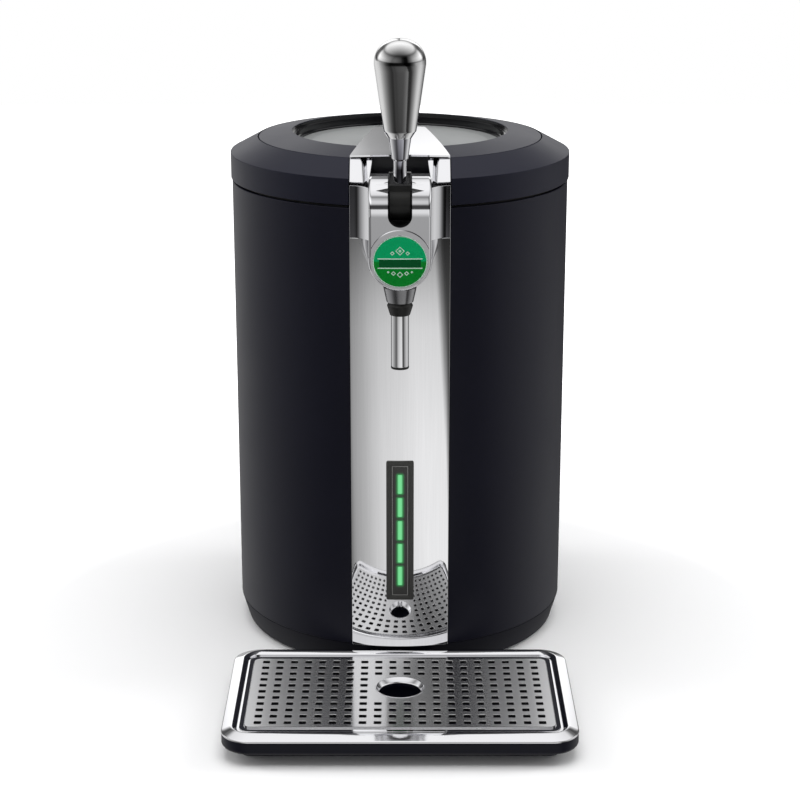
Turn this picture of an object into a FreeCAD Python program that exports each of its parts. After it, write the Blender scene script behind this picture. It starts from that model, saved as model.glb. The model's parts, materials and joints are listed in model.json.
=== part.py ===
import FreeCAD, Part
import math
import os
from FreeCAD import Vector

# Mini keg beer dispenser, millimetres. While a piece is made, the drum's axis is x = 0, y = 0,
# the front is -Y and the ground is z = 0. At the end everything moves so that the origin is
# the middle of the whole object's footprint.

# clearances
body_gap = 0.3          # between pieces that move against each other
pin_gap = 0.05          # radial clearance of a turning pin
seam_gap = 0.8          # the shadow line between body and lid
snug = 0.1              # between neighbouring covers of one body

# chamber, round a keg
chamber_r = 88.0
liner_t = 1.5
liner_flange = 6.0
flange_t = 1.2
mat_r = 80.0
mat_t = 2.5
sensor_r = 3.0
sensor_len = 8.0
foam_floor = 22.0       # foam between the cradle and the chamber's floor
liner_r = chamber_r + liner_t

# drum casing
jacket = 46.5           # from the chamber's liner out to the casing's face
shell_r = liner_r + jacket
shell_t = 3.0
shell_h = 356.0
foot_h = 2.0
foot_r = 9.0
foot_inset = 32.0
pan_taper = 6.0
pan_rise = 20.0
pan_t = 3.0
pan_lip_h = 8.0
pan_lip_t = 2.0
deck_t = 3.0
deck_skirt_h = 12.0
foam_inset = 16.0
inner_r = shell_r - shell_t
foam_r = shell_r - foam_inset
foot_ring_r = shell_r - foot_inset
pan_low_r = shell_r - pan_taper
pan_top_z = foot_h + pan_rise
floor_z = foot_h + pan_t
seam_z = pan_top_z + shell_h
deck_low_z = seam_z - deck_t

# cradle and screws under the chamber
cradle_inset = 25.0
cradle_h = 57.0
cradle_wall = 3.0
post_r = 6.0
post_inset = 11.0
screw_r = 1.6
screw_head_r = 3.2
screw_head_h = 1.8
screw_len = 14.0
cradle_r = shell_r - cradle_inset
post_ring_r = cradle_r - post_inset
cradle_top_z = floor_z + cradle_h
liner_floor_z = cradle_top_z + foam_floor

# cooling, stacked inwards from the casing
sink_z = 200.0
block_half_w = 18.0
block_half_h = 20.0
peltier_half = 20.0
peltier_t = 4.0
sink_half_w = 38.0
sink_half_h = 42.0
sink_base_t = 4.0
fin_h = 9.0
fin_t = 1.6
fin_count = 12
fan_half = 39.0
fan_t = 9.0
fan_inset = 7.5         # from the casing's inner face, where the square frame just fits
fan_bore_r = 37.0
blade_tip_gap = 1.0
fan_hub_r = 13.0
fan_boss_t = 2.0
fan_shaft_r = 2.0
fan_clip_t = 0.6
blade_count = 7
blade_t = 1.6
blade_tilt = 35.0
fan_y = inner_r - fan_inset - fan_t
fins_y = fan_y - fin_h
sink_y = fins_y - sink_base_t
block_y = sink_y - peltier_t

# rear vent panel, inlet and switch
vent_half_w = 50.0
vent_foot = 12.0
vent_head = 38.0
vent_proud = 2.0
louvre_half_w = 36.0
louvre_h = 4.0
louvre_pitch = 9.0
louvre_foot = 76.0
louvre_head = 30.0
inlet_x = -20.0
inlet_rise = 15.0
inlet_half_w = 14.0
inlet_half_h = 11.0
inlet_depth = 26.0
inlet_proud = 1.0
socket_half_w = 10.0
socket_half_h = 6.5
socket_depth = 16.0
prong_half_w = 1.0
prong_half_h = 2.0
prong_pitch = 6.0
prong_len = 12.0
switch_x = 22.0
rocker_half_w = 5.5
rocker_r = 9.0
rocker_sink = 7.0       # the rocker's axis lies this far inside the panel's face
rocker_flat = 6.5
rocker_tilt = 7.0
switch_rim = 2.0
vent_r = shell_r + vent_proud
vent_low_z = pan_top_z + vent_foot
vent_high_z = seam_z - vent_head
louvre_low_z = vent_low_z + louvre_foot
louvre_high_z = vent_high_z - louvre_head
inlet_z = vent_low_z + inlet_rise

# electronics
board_half_w = 42.0
board_y0 = 8.0
board_y1 = 76.0
standoff_h = 8.0
board_t = 1.6
standoff_r = 3.0
board_inset = 5.0
transformer = (16.0, 26.0, 24.0)
capacitor_r = 6.0
capacitor_h = 18.0
board_z = floor_z + standoff_h

# front strip and column behind it
strip_half_w = 38.3
strip_proud = 1.0
strip_t = 2.0
column_lap = 7.7
column_t = 4.0
strip_r = shell_r + strip_proud
column_half_w = strip_half_w + column_lap

# tap surround above the strip
surround_rise = 16.6    # its top, above the seam
surround_h = 40.0
surround_t = 8.0
cheek_gap = 0.2
surround_top_z = seam_z + surround_rise
strip_top_z = surround_top_z - surround_h

# display in the strip
display_half_w = 10.8
display_rise = 40.8
display_h = 115.8
display_proud = 1.2
display_flange = 0.8
display_frame = 3.2
window_sink = 0.3
led_half_w = 2.15
led_h = 15.4
led_pitch = 19.15
led_margin = 11.2
led_count = 5
led_board_half_w = 15.0
led_board_t = 1.6
led_board_sink = 9.0
display_low_z = pan_top_z + display_rise
display_high_z = display_low_z + display_h
led_top_z = display_high_z - led_margin
led_board_y = led_board_sink - shell_r

# tap head
head_half_w = 22.9
tap_reach = 41.0        # the lever's pin, ahead of the strip
tap_rise = 12.0         # and above the seam
drum_r = 19.8
neck_rise = 6.0
neck_h = 46.0
face_drop = 10.0
face_tilt = 8.0
face_sink = 2.3         # the flat face lies this far behind the drum's front
plate_depth = 30.0
disc_drop = 40.4
disc_r = 24.0
disc_depth = 28.0
ring_proud = 2.0
badge_r = 20.0
badge_t = 1.4
notch_r = 3.4
notch_margin = 4.9
notch_rise = 9.0
backplate_h = 24.6
backplate_inset = 7.3
backplate_t = 2.5
drum_y = -(strip_r + tap_reach)
drum_z = seam_z + tap_rise
neck_back_y = -(foam_r + body_gap)
neck_top_z = drum_z + neck_rise
neck_low_z = neck_top_z - neck_h
face_top_z = drum_z - face_drop
disc_z = drum_z - disc_drop
notch_tip_x = head_half_w - notch_margin
notch_z = drum_z + notch_rise
backplate_low_z = strip_top_z - backplate_h
backplate_half_w = strip_half_w - backplate_inset

# spout
spout_back = 3.0        # the spout's line, behind the lever's pin
nozzle_drop = 26.6
nozzle_h = 10.4
nozzle_top_r = 13.1
nozzle_low_r = 10.5
collar_h = 6.6
collar_top_r = 9.6
collar_low_r = 7.2
tube_r = 6.8
tube_wall = 1.0
tube_len = 38.6
tip_h = 2.6
tip_proud = 0.4
hose_r = 3.6
hose_back = 28.5
passage_rise = 5.4
spout_y = drum_y + spout_back
nozzle_top_z = disc_z - nozzle_drop
nozzle_low_z = nozzle_top_z - nozzle_h
collar_low_z = nozzle_low_z - collar_h
tube_low_z = collar_low_z - tube_len
hose_y = drum_y + hose_back
passage_z = disc_z + passage_rise

# lever
hub_r = 15.0
hub_half_w = 8.3
slot_gap = 0.5
slot_drop = 14.5
pin_r = 3.0
pin_half_len = 20.0
socket_half_d = 6.5
socket_rise = 22.4
stem_profile = ((4.6, 0.0), (5.9, 10.9), (7.6, 25.5))     # radius, height above the socket
neck_spigot_r = 5.0
neck_spigot_h = 18.1
grip_low_r = 8.9
grip_shoulder_r = 11.9
grip_shoulder_h = 5.2
grip_wide_r = 18.7
grip_taper_h = 55.3
grip_crown_h = 15.8
cam_half_w = 4.0
cam_depth = 3.6
cam_angle = 35.0
slot_low_z = drum_z - slot_drop
socket_top_z = drum_z + socket_rise

# pinch plunger
plunger_r = 3.3
nose_r = 2.5
nose_len = 3.7
plunger_len = 10.0

# lid
lid_overhang = 1.0
lid_side_h = 20.7
lid_t = 3.0
shoulder_w = 22.3
shoulder_rise = 11.8
ring_gap = 0.2
rim_w = 27.7
rim_rise = 4.7
well_step = 3.0
window_drop = 9.5
window_t = 3.5
window_lip = 3.0
window_ledge_t = 2.0
lid_pan_inset = 10.7
lid_pan_drop = 5.0
lid_pan_t = 2.0
gasket_inset = 4.0
gasket_w = 4.0
gasket_h = 2.8
lid_screw_r = 1.5
lid_screw_head_r = 3.0
lid_screw_head_h = 1.2
lid_screw_len = 7.0
lid_r = shell_r + lid_overhang
lid_low_z = seam_z + seam_gap
lid_side_z = lid_low_z + lid_side_h
ring_r = lid_r - shoulder_w
ring_z = lid_side_z + shoulder_rise
well_r = ring_r - rim_w
well_z = ring_z + rim_rise
step_r = well_r - well_step
window_r = step_r - well_step
window_z = well_z - window_drop
seat_z = window_z - window_t
ring_low_z = seat_z - window_ledge_t
lid_pan_r = ring_r - lid_pan_inset
lid_pan_z = ring_low_z - lid_pan_drop
lid_pan_top_z = lid_pan_z + lid_pan_t
gasket_r = lid_pan_r - gasket_inset

# chrome tongue and its horns
tongue_inset = 4.7
tongue_rise = 2.2
tongue_len = 116.0
tongue_end_half_w = 20.0
tongue_lift = 1.0
tongue_t = 2.5
horn_gap = 1.0
horn_clear = 2.5
horn_flare = 3.0
horn_depth = 4.0
tongue_front_y = tongue_inset - ring_r
tongue_front_z = ring_z + tongue_rise
tongue_half_w = strip_half_w - body_gap
tongue_end_y = tongue_front_y + tongue_len
tongue_end_z = well_z + tongue_lift
horn_low_z = surround_top_z + horn_gap
horn_in_low_x = head_half_w + horn_clear
horn_in_top_x = horn_in_low_x + horn_flare
horn_back_y = tongue_front_y + horn_depth
horn_side_z = lid_side_z + horn_gap
yoke_low_z = lid_pan_top_z + cheek_gap

# lid hinge
hinge_out = 5.5
hinge_rise = 1.0
knuckle_r = 4.5
hinge_pin_r = 2.5
lid_knuckle_half = 20.0
bracket_half_w = 32.0
bracket_drop = 6.0
bracket_h = 22.0
bracket_t = 2.5
arm_h = 13.0
hinge_y = lid_r + hinge_out
hinge_z = seam_z + hinge_rise
bracket_top_z = seam_z - bracket_drop
bracket_low_z = bracket_top_z - bracket_h
arm_top_z = hinge_z + arm_h

# drip tray
tray_half_w = 131.0
tray_depth = 163.7
tray_gap = 1.8
tray_corner_r = 21.0
plinth_inset = 14.0
plinth_h = 7.0
tray_foot_h = 2.0
tray_foot_r = 7.0
skirt_h = 10.2
tray_wall = 3.0
tray_floor = 2.0
rim_h = 4.3
rim_edge = 2.0
rim_side_w = 10.8
rim_front_w = 11.6
rim_rear_w = 16.8
rim_in_r = 10.0
rim_step = 2.5
ledge_t = 1.0
ledge_w = 3.0
groove_side_w = 5.8
groove_front_w = 9.7
groove_rear_w = 4.6
grid_proud = 1.0
grid_corner_r = 3.0
hole_x = 5.0
hole_y = 4.6
hole_pitch_x = 11.04
hole_pitch_y = 10.74
row_margin = 6.3
cup_setback = 46.8
cup_r = 18.5
cup_bore_r = 15.4
cup_depth = 6.0
cup_wall = 1.4
hook_half_w = 28.0
hook_reach = 18.8
tray_rear_y = -(strip_r + tray_gap)
tray_front_y = tray_rear_y - tray_depth
tray_skirt_z = tray_foot_h + plinth_h
tray_rim_z = tray_skirt_z + skirt_h
tray_top_z = tray_rim_z + rim_h
rim_in_half_w = tray_half_w - rim_side_w
rim_in_front_y = tray_front_y + rim_front_w
rim_in_rear_y = tray_rear_y - rim_rear_w
step_z = tray_top_z - rim_step
grid_half_w = rim_in_half_w - groove_side_w
grid_front_y = rim_in_front_y + groove_front_w
grid_rear_y = rim_in_rear_y - groove_rear_w
grid_top_z = step_z + grid_proud
first_row_y = grid_rear_y - row_margin
hole_columns = int(2 * grid_half_w // hole_pitch_x)
hole_rows = int((grid_rear_y - grid_front_y) // hole_pitch_y)
cup_y = first_row_y - cup_setback
cup_low_z = grid_top_z - cup_depth
hook_low_z = floor_z + body_gap
hook_end_y = tray_rear_y + hook_reach

# worked out from the sizes above
far = 3 * shell_r
slot_half = hub_half_w + slot_gap
cavity_r = hub_r + slot_gap
tilt = math.radians(face_tilt)
disc_y = drum_y - drum_r + face_sink + (face_top_z - disc_z) * math.tan(tilt)
face_out = Vector(0, -math.cos(tilt), -math.sin(tilt))
disc_centre = Vector(0, disc_y, disc_z)
rear_y = hinge_y + knuckle_r
shift = Vector(0, -(tray_front_y + rear_y) / 2, 0)

pieces = {}


def keep(name, shape):
    pieces[name] = shape


def box(x0, x1, y0, y1, z0, z1):
    return Part.makeBox(x1 - x0, y1 - y0, z1 - z0, Vector(x0, y0, z0))


def post(r, z0, z1, x=0.0, y=0.0):
    return Part.makeCylinder(r, z1 - z0, Vector(x, y, z0))


def cone(r0, r1, z0, z1, x=0.0, y=0.0):
    return Part.makeCone(r0, r1, z1 - z0, Vector(x, y, z0))


def rod_x(r, x0, x1, y, z):
    return Part.makeCylinder(r, x1 - x0, Vector(x0, y, z), Vector(1, 0, 0))


def rod_y(r, y0, y1, x, z):
    return Part.makeCylinder(r, y1 - y0, Vector(x, y0, z), Vector(0, 1, 0))


def ring(r0, r1, z0, z1):
    return post(r1, z0, z1).cut(post(r0, z0, z1))


def face_of(points):
    return Part.Face(Part.makePolygon(points + points[:1]))


def turned(outline, x=0.0, y=0.0):
    """A solid of revolution about a vertical line, from (radius, height) points."""
    points = [Vector(x + r, y, z) for r, z in outline]
    return face_of(points).revolve(Vector(x, y, 0), Vector(0, 0, 1), 360)


def slab_yz(outline, x0, x1):
    return face_of([Vector(x0, y, z) for y, z in outline]).extrude(Vector(x1 - x0, 0, 0))


def slab_xz(outline, y0, y1):
    return face_of([Vector(x, y0, z) for x, z in outline]).extrude(Vector(0, y1 - y0, 0))


def front_band(r0, r1, half_w, z0, z1):
    """The stretch of a vertical tube that lies at the front, as wide as twice half_w."""
    return ring(r0, r1, z0, z1).common(box(-half_w, half_w, -far, 0, z0, z1))


def rear_band(r0, r1, half_w, z0, z1):
    return ring(r0, r1, z0, z1).common(box(-half_w, half_w, 0, far, z0, z1))


def rounded_block(half_w, y0, y1, z0, z1, r):
    block = box(-half_w, half_w, y0, y1, z0, z1)
    upright = [e for e in block.Edges if abs(e.Vertexes[0].Z - e.Vertexes[1].Z) > (z1 - z0) / 2]
    return block.makeFillet(r, upright)


def at_height(shape, z):
    """Edges of a shape that lie flat at one height."""
    low = z - snug / 10
    high = z + snug / 10
    return [e for e in shape.Edges if low < e.BoundBox.ZMin and e.BoundBox.ZMax < high]


def around(count, radius, start=0.0):
    """Points spread evenly round the drum's axis."""
    turns = [start + 2 * math.pi * k / count for k in range(count)]
    return [(radius * math.cos(t), radius * math.sin(t)) for t in turns]


def make_base():
    lip_r = inner_r - pan_lip_t
    pan = turned([(0, foot_h), (pan_low_r, foot_h), (shell_r, pan_top_z), (inner_r, pan_top_z),
                  (inner_r, pan_top_z + pan_lip_h), (lip_r, pan_top_z + pan_lip_h),
                  (lip_r, pan_top_z), (pan_low_r - pan_t, floor_z), (0, floor_z)])
    pocket_w = hook_half_w + body_gap
    pocket_top = tray_skirt_z + body_gap
    pan = pan.cut(box(-pocket_w, pocket_w, -shell_r, hook_end_y + body_gap, floor_z, pocket_top))
    screws = around(4, post_ring_r)
    standoffs = [post(standoff_r, floor_z, board_z, x, y)
                 for x in (-board_half_w + board_inset, board_half_w - board_inset)
                 for y in (board_y0 + board_inset, board_y1 - board_inset)]
    pan = pan.fuse(standoffs)
    pan = pan.cut([post(screw_r, foot_h, floor_z, x, y) for x, y in screws])
    pan = pan.cut([post(screw_head_r, foot_h, foot_h + screw_head_h, x, y) for x, y in screws])
    keep("base_pan", pan)
    keep("feet", Part.makeCompound([post(foot_r, 0, foot_h, x, y)
                                    for x, y in around(4, foot_ring_r, math.pi / 4)]))
    head_top = foot_h + screw_head_h
    keep("base_screws", Part.makeCompound([post(screw_head_r, foot_h, head_top, x, y).fuse(
        post(screw_r, head_top, head_top + screw_len, x, y)) for x, y in screws]))
    plate_low = cradle_top_z - cradle_wall
    cradle = ring(cradle_r - cradle_wall, cradle_r, floor_z, cradle_top_z)
    cradle = cradle.fuse([post(cradle_r, plate_low, cradle_top_z)]
                         + [post(post_r, floor_z, plate_low, x, y) for x, y in screws])
    cradle = cradle.cut([post(screw_r, floor_z, head_top + screw_len, x, y) for x, y in screws])
    keep("cradle", cradle)


def make_casing():
    shell = ring(inner_r, shell_r, pan_top_z, seam_z)
    shell = shell.cut([box(-strip_half_w, strip_half_w, -far, 0, pan_top_z, seam_z),
                       box(-vent_half_w, vent_half_w, 0, far, vent_low_z, vent_high_z)])
    keep("outer_shell", shell)
    window = box(-display_half_w + display_flange, display_half_w - display_flange, -far, 0,
                 display_low_z + display_flange, display_high_z - display_flange)
    column_low = pan_top_z + pan_lip_h
    skirt_low = deck_low_z - deck_skirt_h
    column = front_band(inner_r - column_t, inner_r, column_half_w, column_low, skirt_low)
    column = column.fuse(front_band(inner_r, strip_r - strip_t, strip_half_w, pan_top_z, strip_top_z))
    column = column.cut([window, head_block(cheek_gap)])
    keep("front_column", column)
    strip = front_band(strip_r - strip_t, strip_r, strip_half_w, pan_top_z, strip_top_z)
    keep("front_strip", strip.cut([window, head_block(cheek_gap)]))
    deck = ring(liner_r, inner_r, deck_low_z, seam_z).fuse(
        ring(inner_r - shell_t, inner_r, skirt_low, deck_low_z))
    notch_w = strip_half_w + cheek_gap
    deck = deck.cut(box(-notch_w, notch_w, -far, neck_back_y + snug, skirt_low, seam_z))
    keep("top_deck", deck)


def make_chamber():
    liner = ring(chamber_r, liner_r, liner_floor_z, seam_z + flange_t)
    liner = liner.fuse([post(liner_r, liner_floor_z, liner_floor_z + liner_t),
                        ring(chamber_r, chamber_r + liner_flange, seam_z, seam_z + flange_t)])
    keep("liner", liner)
    mat_z = liner_floor_z + liner_t
    keep("keg_mat", post(mat_r, mat_z, mat_z + mat_t))
    sensor = Part.makeCylinder(sensor_r, sensor_len + liner_r, Vector(0, 0, sink_z), Vector(-1, 0, 0))
    sensor = sensor.cut(post(liner_r, sink_z - sensor_r, sink_z + sensor_r))
    keep("temperature_sensor", sensor)
    keep("insulation_floor", post(foam_r, cradle_top_z, liner_floor_z))
    jacket_foam = ring(liner_r, foam_r, liner_floor_z, deck_low_z)
    jacket_foam = jacket_foam.cut([
        sensor, box(-block_half_w, block_half_w, 0, far, sink_z - block_half_h, sink_z + block_half_h),
        box(-peltier_half, peltier_half, block_y, far, sink_z - peltier_half, sink_z + peltier_half),
        box(-sink_half_w, sink_half_w, sink_y, far, sink_z - sink_half_h, sink_z + sink_half_h)])
    for name, x0, x1 in (("insulation_left", -foam_r, 0), ("insulation_right", 0, foam_r)):
        keep(name, jacket_foam.common(box(x0, x1, -foam_r, foam_r, liner_floor_z, deck_low_z)))


def make_cooling():
    block = box(-block_half_w, block_half_w, 0, block_y, sink_z - block_half_h, sink_z + block_half_h)
    keep("cold_block", block.cut(post(liner_r, sink_z - block_half_h, sink_z + block_half_h)))
    keep("peltier_module", box(-peltier_half, peltier_half, block_y, sink_y,
                               sink_z - peltier_half, sink_z + peltier_half))
    base = box(-sink_half_w, sink_half_w, sink_y, fins_y, sink_z - sink_half_h, sink_z + sink_half_h)
    step = (2 * sink_half_w - fin_t) / (fin_count - 1)
    fins = [box(x, x + fin_t, fins_y, fan_y, sink_z - sink_half_h, sink_z + sink_half_h)
            for x in (-sink_half_w + step * k for k in range(fin_count))]
    keep("heat_sink", base.fuse(fins))
    frame = box(-fan_half, fan_half, fan_y, fan_y + fan_t, sink_z - fan_half, sink_z + fan_half)
    frame = frame.cut(rod_y(fan_bore_r, fan_y, fan_y + fan_t, 0, sink_z))
    strut = fan_boss_t
    struts = [box(-fan_half, fan_half, fan_y, fan_y + strut, sink_z - strut, sink_z + strut),
              box(-strut, strut, fan_y, fan_y + strut, sink_z - fan_half, sink_z + fan_half),
              rod_y(fan_hub_r, fan_y, fan_y + strut, 0, sink_z),
              rod_y(fan_shaft_r, fan_y, fan_y + fan_t, 0, sink_z),
              rod_y(2 * fan_shaft_r, fan_y + fan_t - fan_clip_t, fan_y + fan_t, 0, sink_z)]
    keep("fan_frame", frame.fuse(struts))
    rotor_y = fan_y + strut + body_gap
    rotor_end = fan_y + fan_t - fan_clip_t - body_gap
    tip_r = fan_bore_r - blade_tip_gap
    blades = []
    for k in range(blade_count):
        blade = box(0, tip_r, -blade_t / 2, blade_t / 2, -fan_hub_r / 2, fan_hub_r / 2)
        blade.rotate(Vector(0, 0, 0), Vector(1, 0, 0), blade_tilt)
        blade.translate(Vector(0, (rotor_y + rotor_end) / 2, sink_z))
        blade.rotate(Vector(0, 0, sink_z), Vector(0, 1, 0), 360.0 * k / blade_count)
        blades.append(blade)
    rotor = rod_y(fan_hub_r, rotor_y, rotor_end, 0, sink_z).fuse(blades)
    rotor = rotor.common(rod_y(tip_r, rotor_y, rotor_end, 0, sink_z))
    keep("fan_rotor", rotor.cut(rod_y(fan_shaft_r + pin_gap, rotor_y, rotor_end, 0, sink_z)))


def make_rear():
    face_y = vent_r + inlet_proud
    panel = rear_band(inner_r, vent_r, vent_half_w - snug, vent_low_z + snug, vent_high_z - snug)
    louvre_count = int((louvre_high_z - louvre_low_z) / louvre_pitch)
    louvres = [box(-louvre_half_w, louvre_half_w, 0, far, z, z + louvre_h)
               for z in (louvre_low_z + louvre_pitch * k for k in range(louvre_count))]
    inlet = box(inlet_x - inlet_half_w, inlet_x + inlet_half_w, face_y - inlet_depth, face_y,
                inlet_z - inlet_half_h, inlet_z + inlet_half_h)
    axis_y = face_y - rocker_sink
    rim_w = rocker_half_w + body_gap + switch_rim
    rim_h = rocker_r + body_gap + switch_rim
    housing = box(switch_x - rim_w, switch_x + rim_w, axis_y - rim_h, face_y,
                  inlet_z - rim_h, inlet_z + rim_h)
    keep("vent_panel", panel.cut([inlet, housing] + louvres))
    socket = box(inlet_x - socket_half_w, inlet_x + socket_half_w, face_y - socket_depth, face_y,
                 inlet_z - socket_half_h, inlet_z + socket_half_h)
    root_y = face_y - socket_depth
    prongs = [box(inlet_x + dx - prong_half_w, inlet_x + dx + prong_half_w, root_y, root_y + prong_len,
                  inlet_z - prong_half_h, inlet_z + prong_half_h)
              for dx in (-prong_pitch, prong_pitch)]
    keep("power_inlet", inlet.cut(socket).fuse(prongs))
    cave_w = rocker_half_w + body_gap
    cave = rod_x(rocker_r + body_gap, switch_x - cave_w, switch_x + cave_w, axis_y, inlet_z)
    pivot = rod_x(pin_r / 2, switch_x - rim_w, switch_x + rim_w, axis_y, inlet_z)
    keep("switch_frame", housing.cut(cave).fuse(pivot))
    rocker = rod_x(rocker_r, switch_x - rocker_half_w, switch_x + rocker_half_w, axis_y, inlet_z)
    dish = box(switch_x - rim_w, switch_x + rim_w, axis_y + rocker_flat, face_y + rocker_r,
               inlet_z - rocker_r, inlet_z + rocker_r)
    bore = rod_x(pin_r / 2 + pin_gap, switch_x - rim_w, switch_x + rim_w, axis_y, inlet_z)
    rocker = rocker.cut([dish, bore])
    rocker.rotate(Vector(switch_x, axis_y, inlet_z), Vector(1, 0, 0), -rocker_tilt)
    keep("rocker_switch", rocker)
    board_top = board_z + board_t
    board = box(-board_half_w, board_half_w, board_y0, board_y1, board_z, board_top)
    coil_x, coil_y, coil_z = transformer
    middle = (board_y0 + board_y1) / 2
    parts = [box(-coil_x, coil_x, middle - coil_y / 2, middle + coil_y / 2, board_top, board_top + coil_z)]
    parts += [post(capacitor_r, board_top, board_top + capacitor_h, x, middle)
              for x in (coil_x + 2 * capacitor_r, -coil_x - 2 * capacitor_r)]
    keep("power_board", board.fuse(parts))


def make_display():
    out_r = strip_r + display_proud
    low = display_low_z + display_flange
    high = display_high_z - display_flange
    body_w = display_half_w - display_flange
    back_r = inner_r - column_t
    pane_w = display_half_w - display_frame
    pane_low = display_low_z + display_frame
    pane_high = display_high_z - display_frame
    bezel = front_band(strip_r, out_r, display_half_w, display_low_z, display_high_z)
    bezel = bezel.fuse(front_band(back_r, strip_r, body_w, low, high))
    opening = box(-pane_w, pane_w, -far, 0, pane_low, pane_high)
    keep("display_bezel", bezel.cut(opening))
    leds = [box(-led_half_w, led_half_w, -out_r, led_board_y, led_top_z - led_pitch * k - led_h,
                led_top_z - led_pitch * k) for k in range(led_count)]
    keep("led_bars", Part.makeCompound(leds))
    pane = front_band(back_r, out_r - window_sink, pane_w, pane_low, pane_high)
    keep("display_window", pane.cut(leds))
    board = box(-led_board_half_w, led_board_half_w, led_board_y, led_board_y + led_board_t,
                display_low_z, display_high_z)
    spacers = [box(x - led_half_w, x + led_half_w, -far, led_board_y, z - led_half_w, z + led_half_w)
               for x in (-led_board_half_w + led_half_w, led_board_half_w - led_half_w)
               for z in (display_low_z + led_half_w, display_high_z - led_half_w)]
    spacers = [s.common(post(back_r, display_low_z, display_high_z)) for s in spacers]
    keep("display_board", board.fuse(spacers))


def head_block(gap):
    """The part of the tap head that passes through the front of the drum."""
    half = head_half_w + gap
    return box(-half, half, drum_y, neck_back_y + gap, neck_low_z - gap, neck_top_z + gap)


def make_surround():
    back_r = strip_r - surround_t
    cheeks = front_band(back_r, strip_r, strip_half_w, strip_top_z, surround_top_z)
    cheeks = cheeks.cut(head_block(cheek_gap))
    behind = front_band(back_r, inner_r, column_half_w, strip_top_z, deck_low_z - deck_skirt_h)
    keep("tap_surround", cheeks.cut(behind))
    outline = [(-head_half_w, backplate_low_z), (head_half_w, backplate_low_z),
               (backplate_half_w, strip_top_z), (-backplate_half_w, strip_top_z)]
    plate = ring(strip_r, strip_r + backplate_t, backplate_low_z, strip_top_z)
    plate = plate.common(slab_xz(outline, -far, 0))
    keep("tap_backplate", plate.cut(head_block(cheek_gap)))


def make_tap():
    face_y = drum_y - drum_r + face_sink
    head = rod_x(drum_r, -head_half_w, head_half_w, drum_y, drum_z)
    plate = slab_yz([(face_y, face_top_z), (disc_y, disc_z), (disc_y + plate_depth, disc_z),
                     (disc_y + plate_depth, face_top_z)], -head_half_w, head_half_w)
    disc = Part.makeCylinder(disc_r, disc_depth, disc_centre, face_out * -1)
    neck = box(-head_half_w, head_half_w, drum_y, neck_back_y, neck_low_z, neck_top_z)
    head = head.fuse([plate, disc, neck])
    slot = rod_y(slot_half, -far, drum_y, 0, slot_low_z + slot_half)
    mouth = box(-slot_half, slot_half, -far, drum_y, slot_low_z + slot_half, drum_z + drum_r)
    stem_room = box(-slot_half, slot_half, drum_y, drum_y + hub_r, drum_z, drum_z + drum_r)
    cavity = rod_x(cavity_r, -slot_half, slot_half, drum_y, drum_z)
    bore = rod_x(pin_r, -pin_half_len, pin_half_len, drum_y, drum_z)
    notch_y = drum_y - math.sqrt(drum_r ** 2 - (notch_z - drum_z) ** 2)
    notches = [Part.makeCone(notch_r, 0, notch_tip_x - slot_half, Vector(side * slot_half, notch_y, notch_z),
                             Vector(side, 0, 0)) for side in (-1, 1)]
    channel = box(-plunger_r - snug, plunger_r + snug, hose_y - hose_r, hose_y + hose_r,
                  passage_z - hose_r, neck_top_z)
    passage = box(-hose_r, hose_r, spout_y - hose_r, hose_y + hose_r, passage_z - hose_r, passage_z + hose_r)
    drop = post(hose_r, nozzle_low_z, passage_z, 0, spout_y)
    guide = rod_y(plunger_r + pin_gap, drum_y, hose_y, 0, drum_z)
    head = head.cut([slot, mouth, stem_room, cavity, bore, channel, passage, drop, guide] + notches)
    keep("tap_head", head)
    keep("lever_pin", rod_x(pin_r, -pin_half_len, pin_half_len, drum_y, drum_z))
    badge = Part.makeCylinder(badge_r, badge_t, disc_centre, face_out)
    rim = Part.makeCylinder(disc_r, ring_proud, disc_centre, face_out)
    keep("badge_ring", rim.cut(Part.makeCylinder(badge_r, ring_proud, disc_centre, face_out)))
    keep("badge_face", badge)
    nozzle_end = nozzle_top_z + 2 * nozzle_top_r
    nozzle = cone(nozzle_low_r, nozzle_top_r, nozzle_low_z, nozzle_top_z, 0, spout_y)
    nozzle = nozzle.fuse(post(nozzle_top_r, nozzle_top_z, nozzle_end, 0, spout_y)).cut(head)
    nozzle = nozzle.cut(post(hose_r, nozzle_low_z, nozzle_end, 0, spout_y))
    keep("spout_nozzle", biggest(nozzle))
    collar = cone(collar_low_r, collar_top_r, collar_low_z, nozzle_low_z, 0, spout_y)
    keep("spout_collar", collar.cut(post(tube_r - tube_wall, collar_low_z, nozzle_low_z, 0, spout_y)))
    tube = post(tube_r, tube_low_z, collar_low_z, 0, spout_y)
    keep("spout_tube", tube.cut(post(tube_r - tube_wall, tube_low_z, collar_low_z, 0, spout_y)))
    tip = post(tube_r + tip_proud, tube_low_z - tip_h, tube_low_z, 0, spout_y)
    keep("spout_tip", tip.cut(post(tube_r - tube_wall, tube_low_z - tip_h, tube_low_z, 0, spout_y)))


def biggest(shape):
    """The largest solid of a cut that left small scraps behind."""
    return max(shape.Solids, key=lambda solid: solid.Volume)


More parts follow.
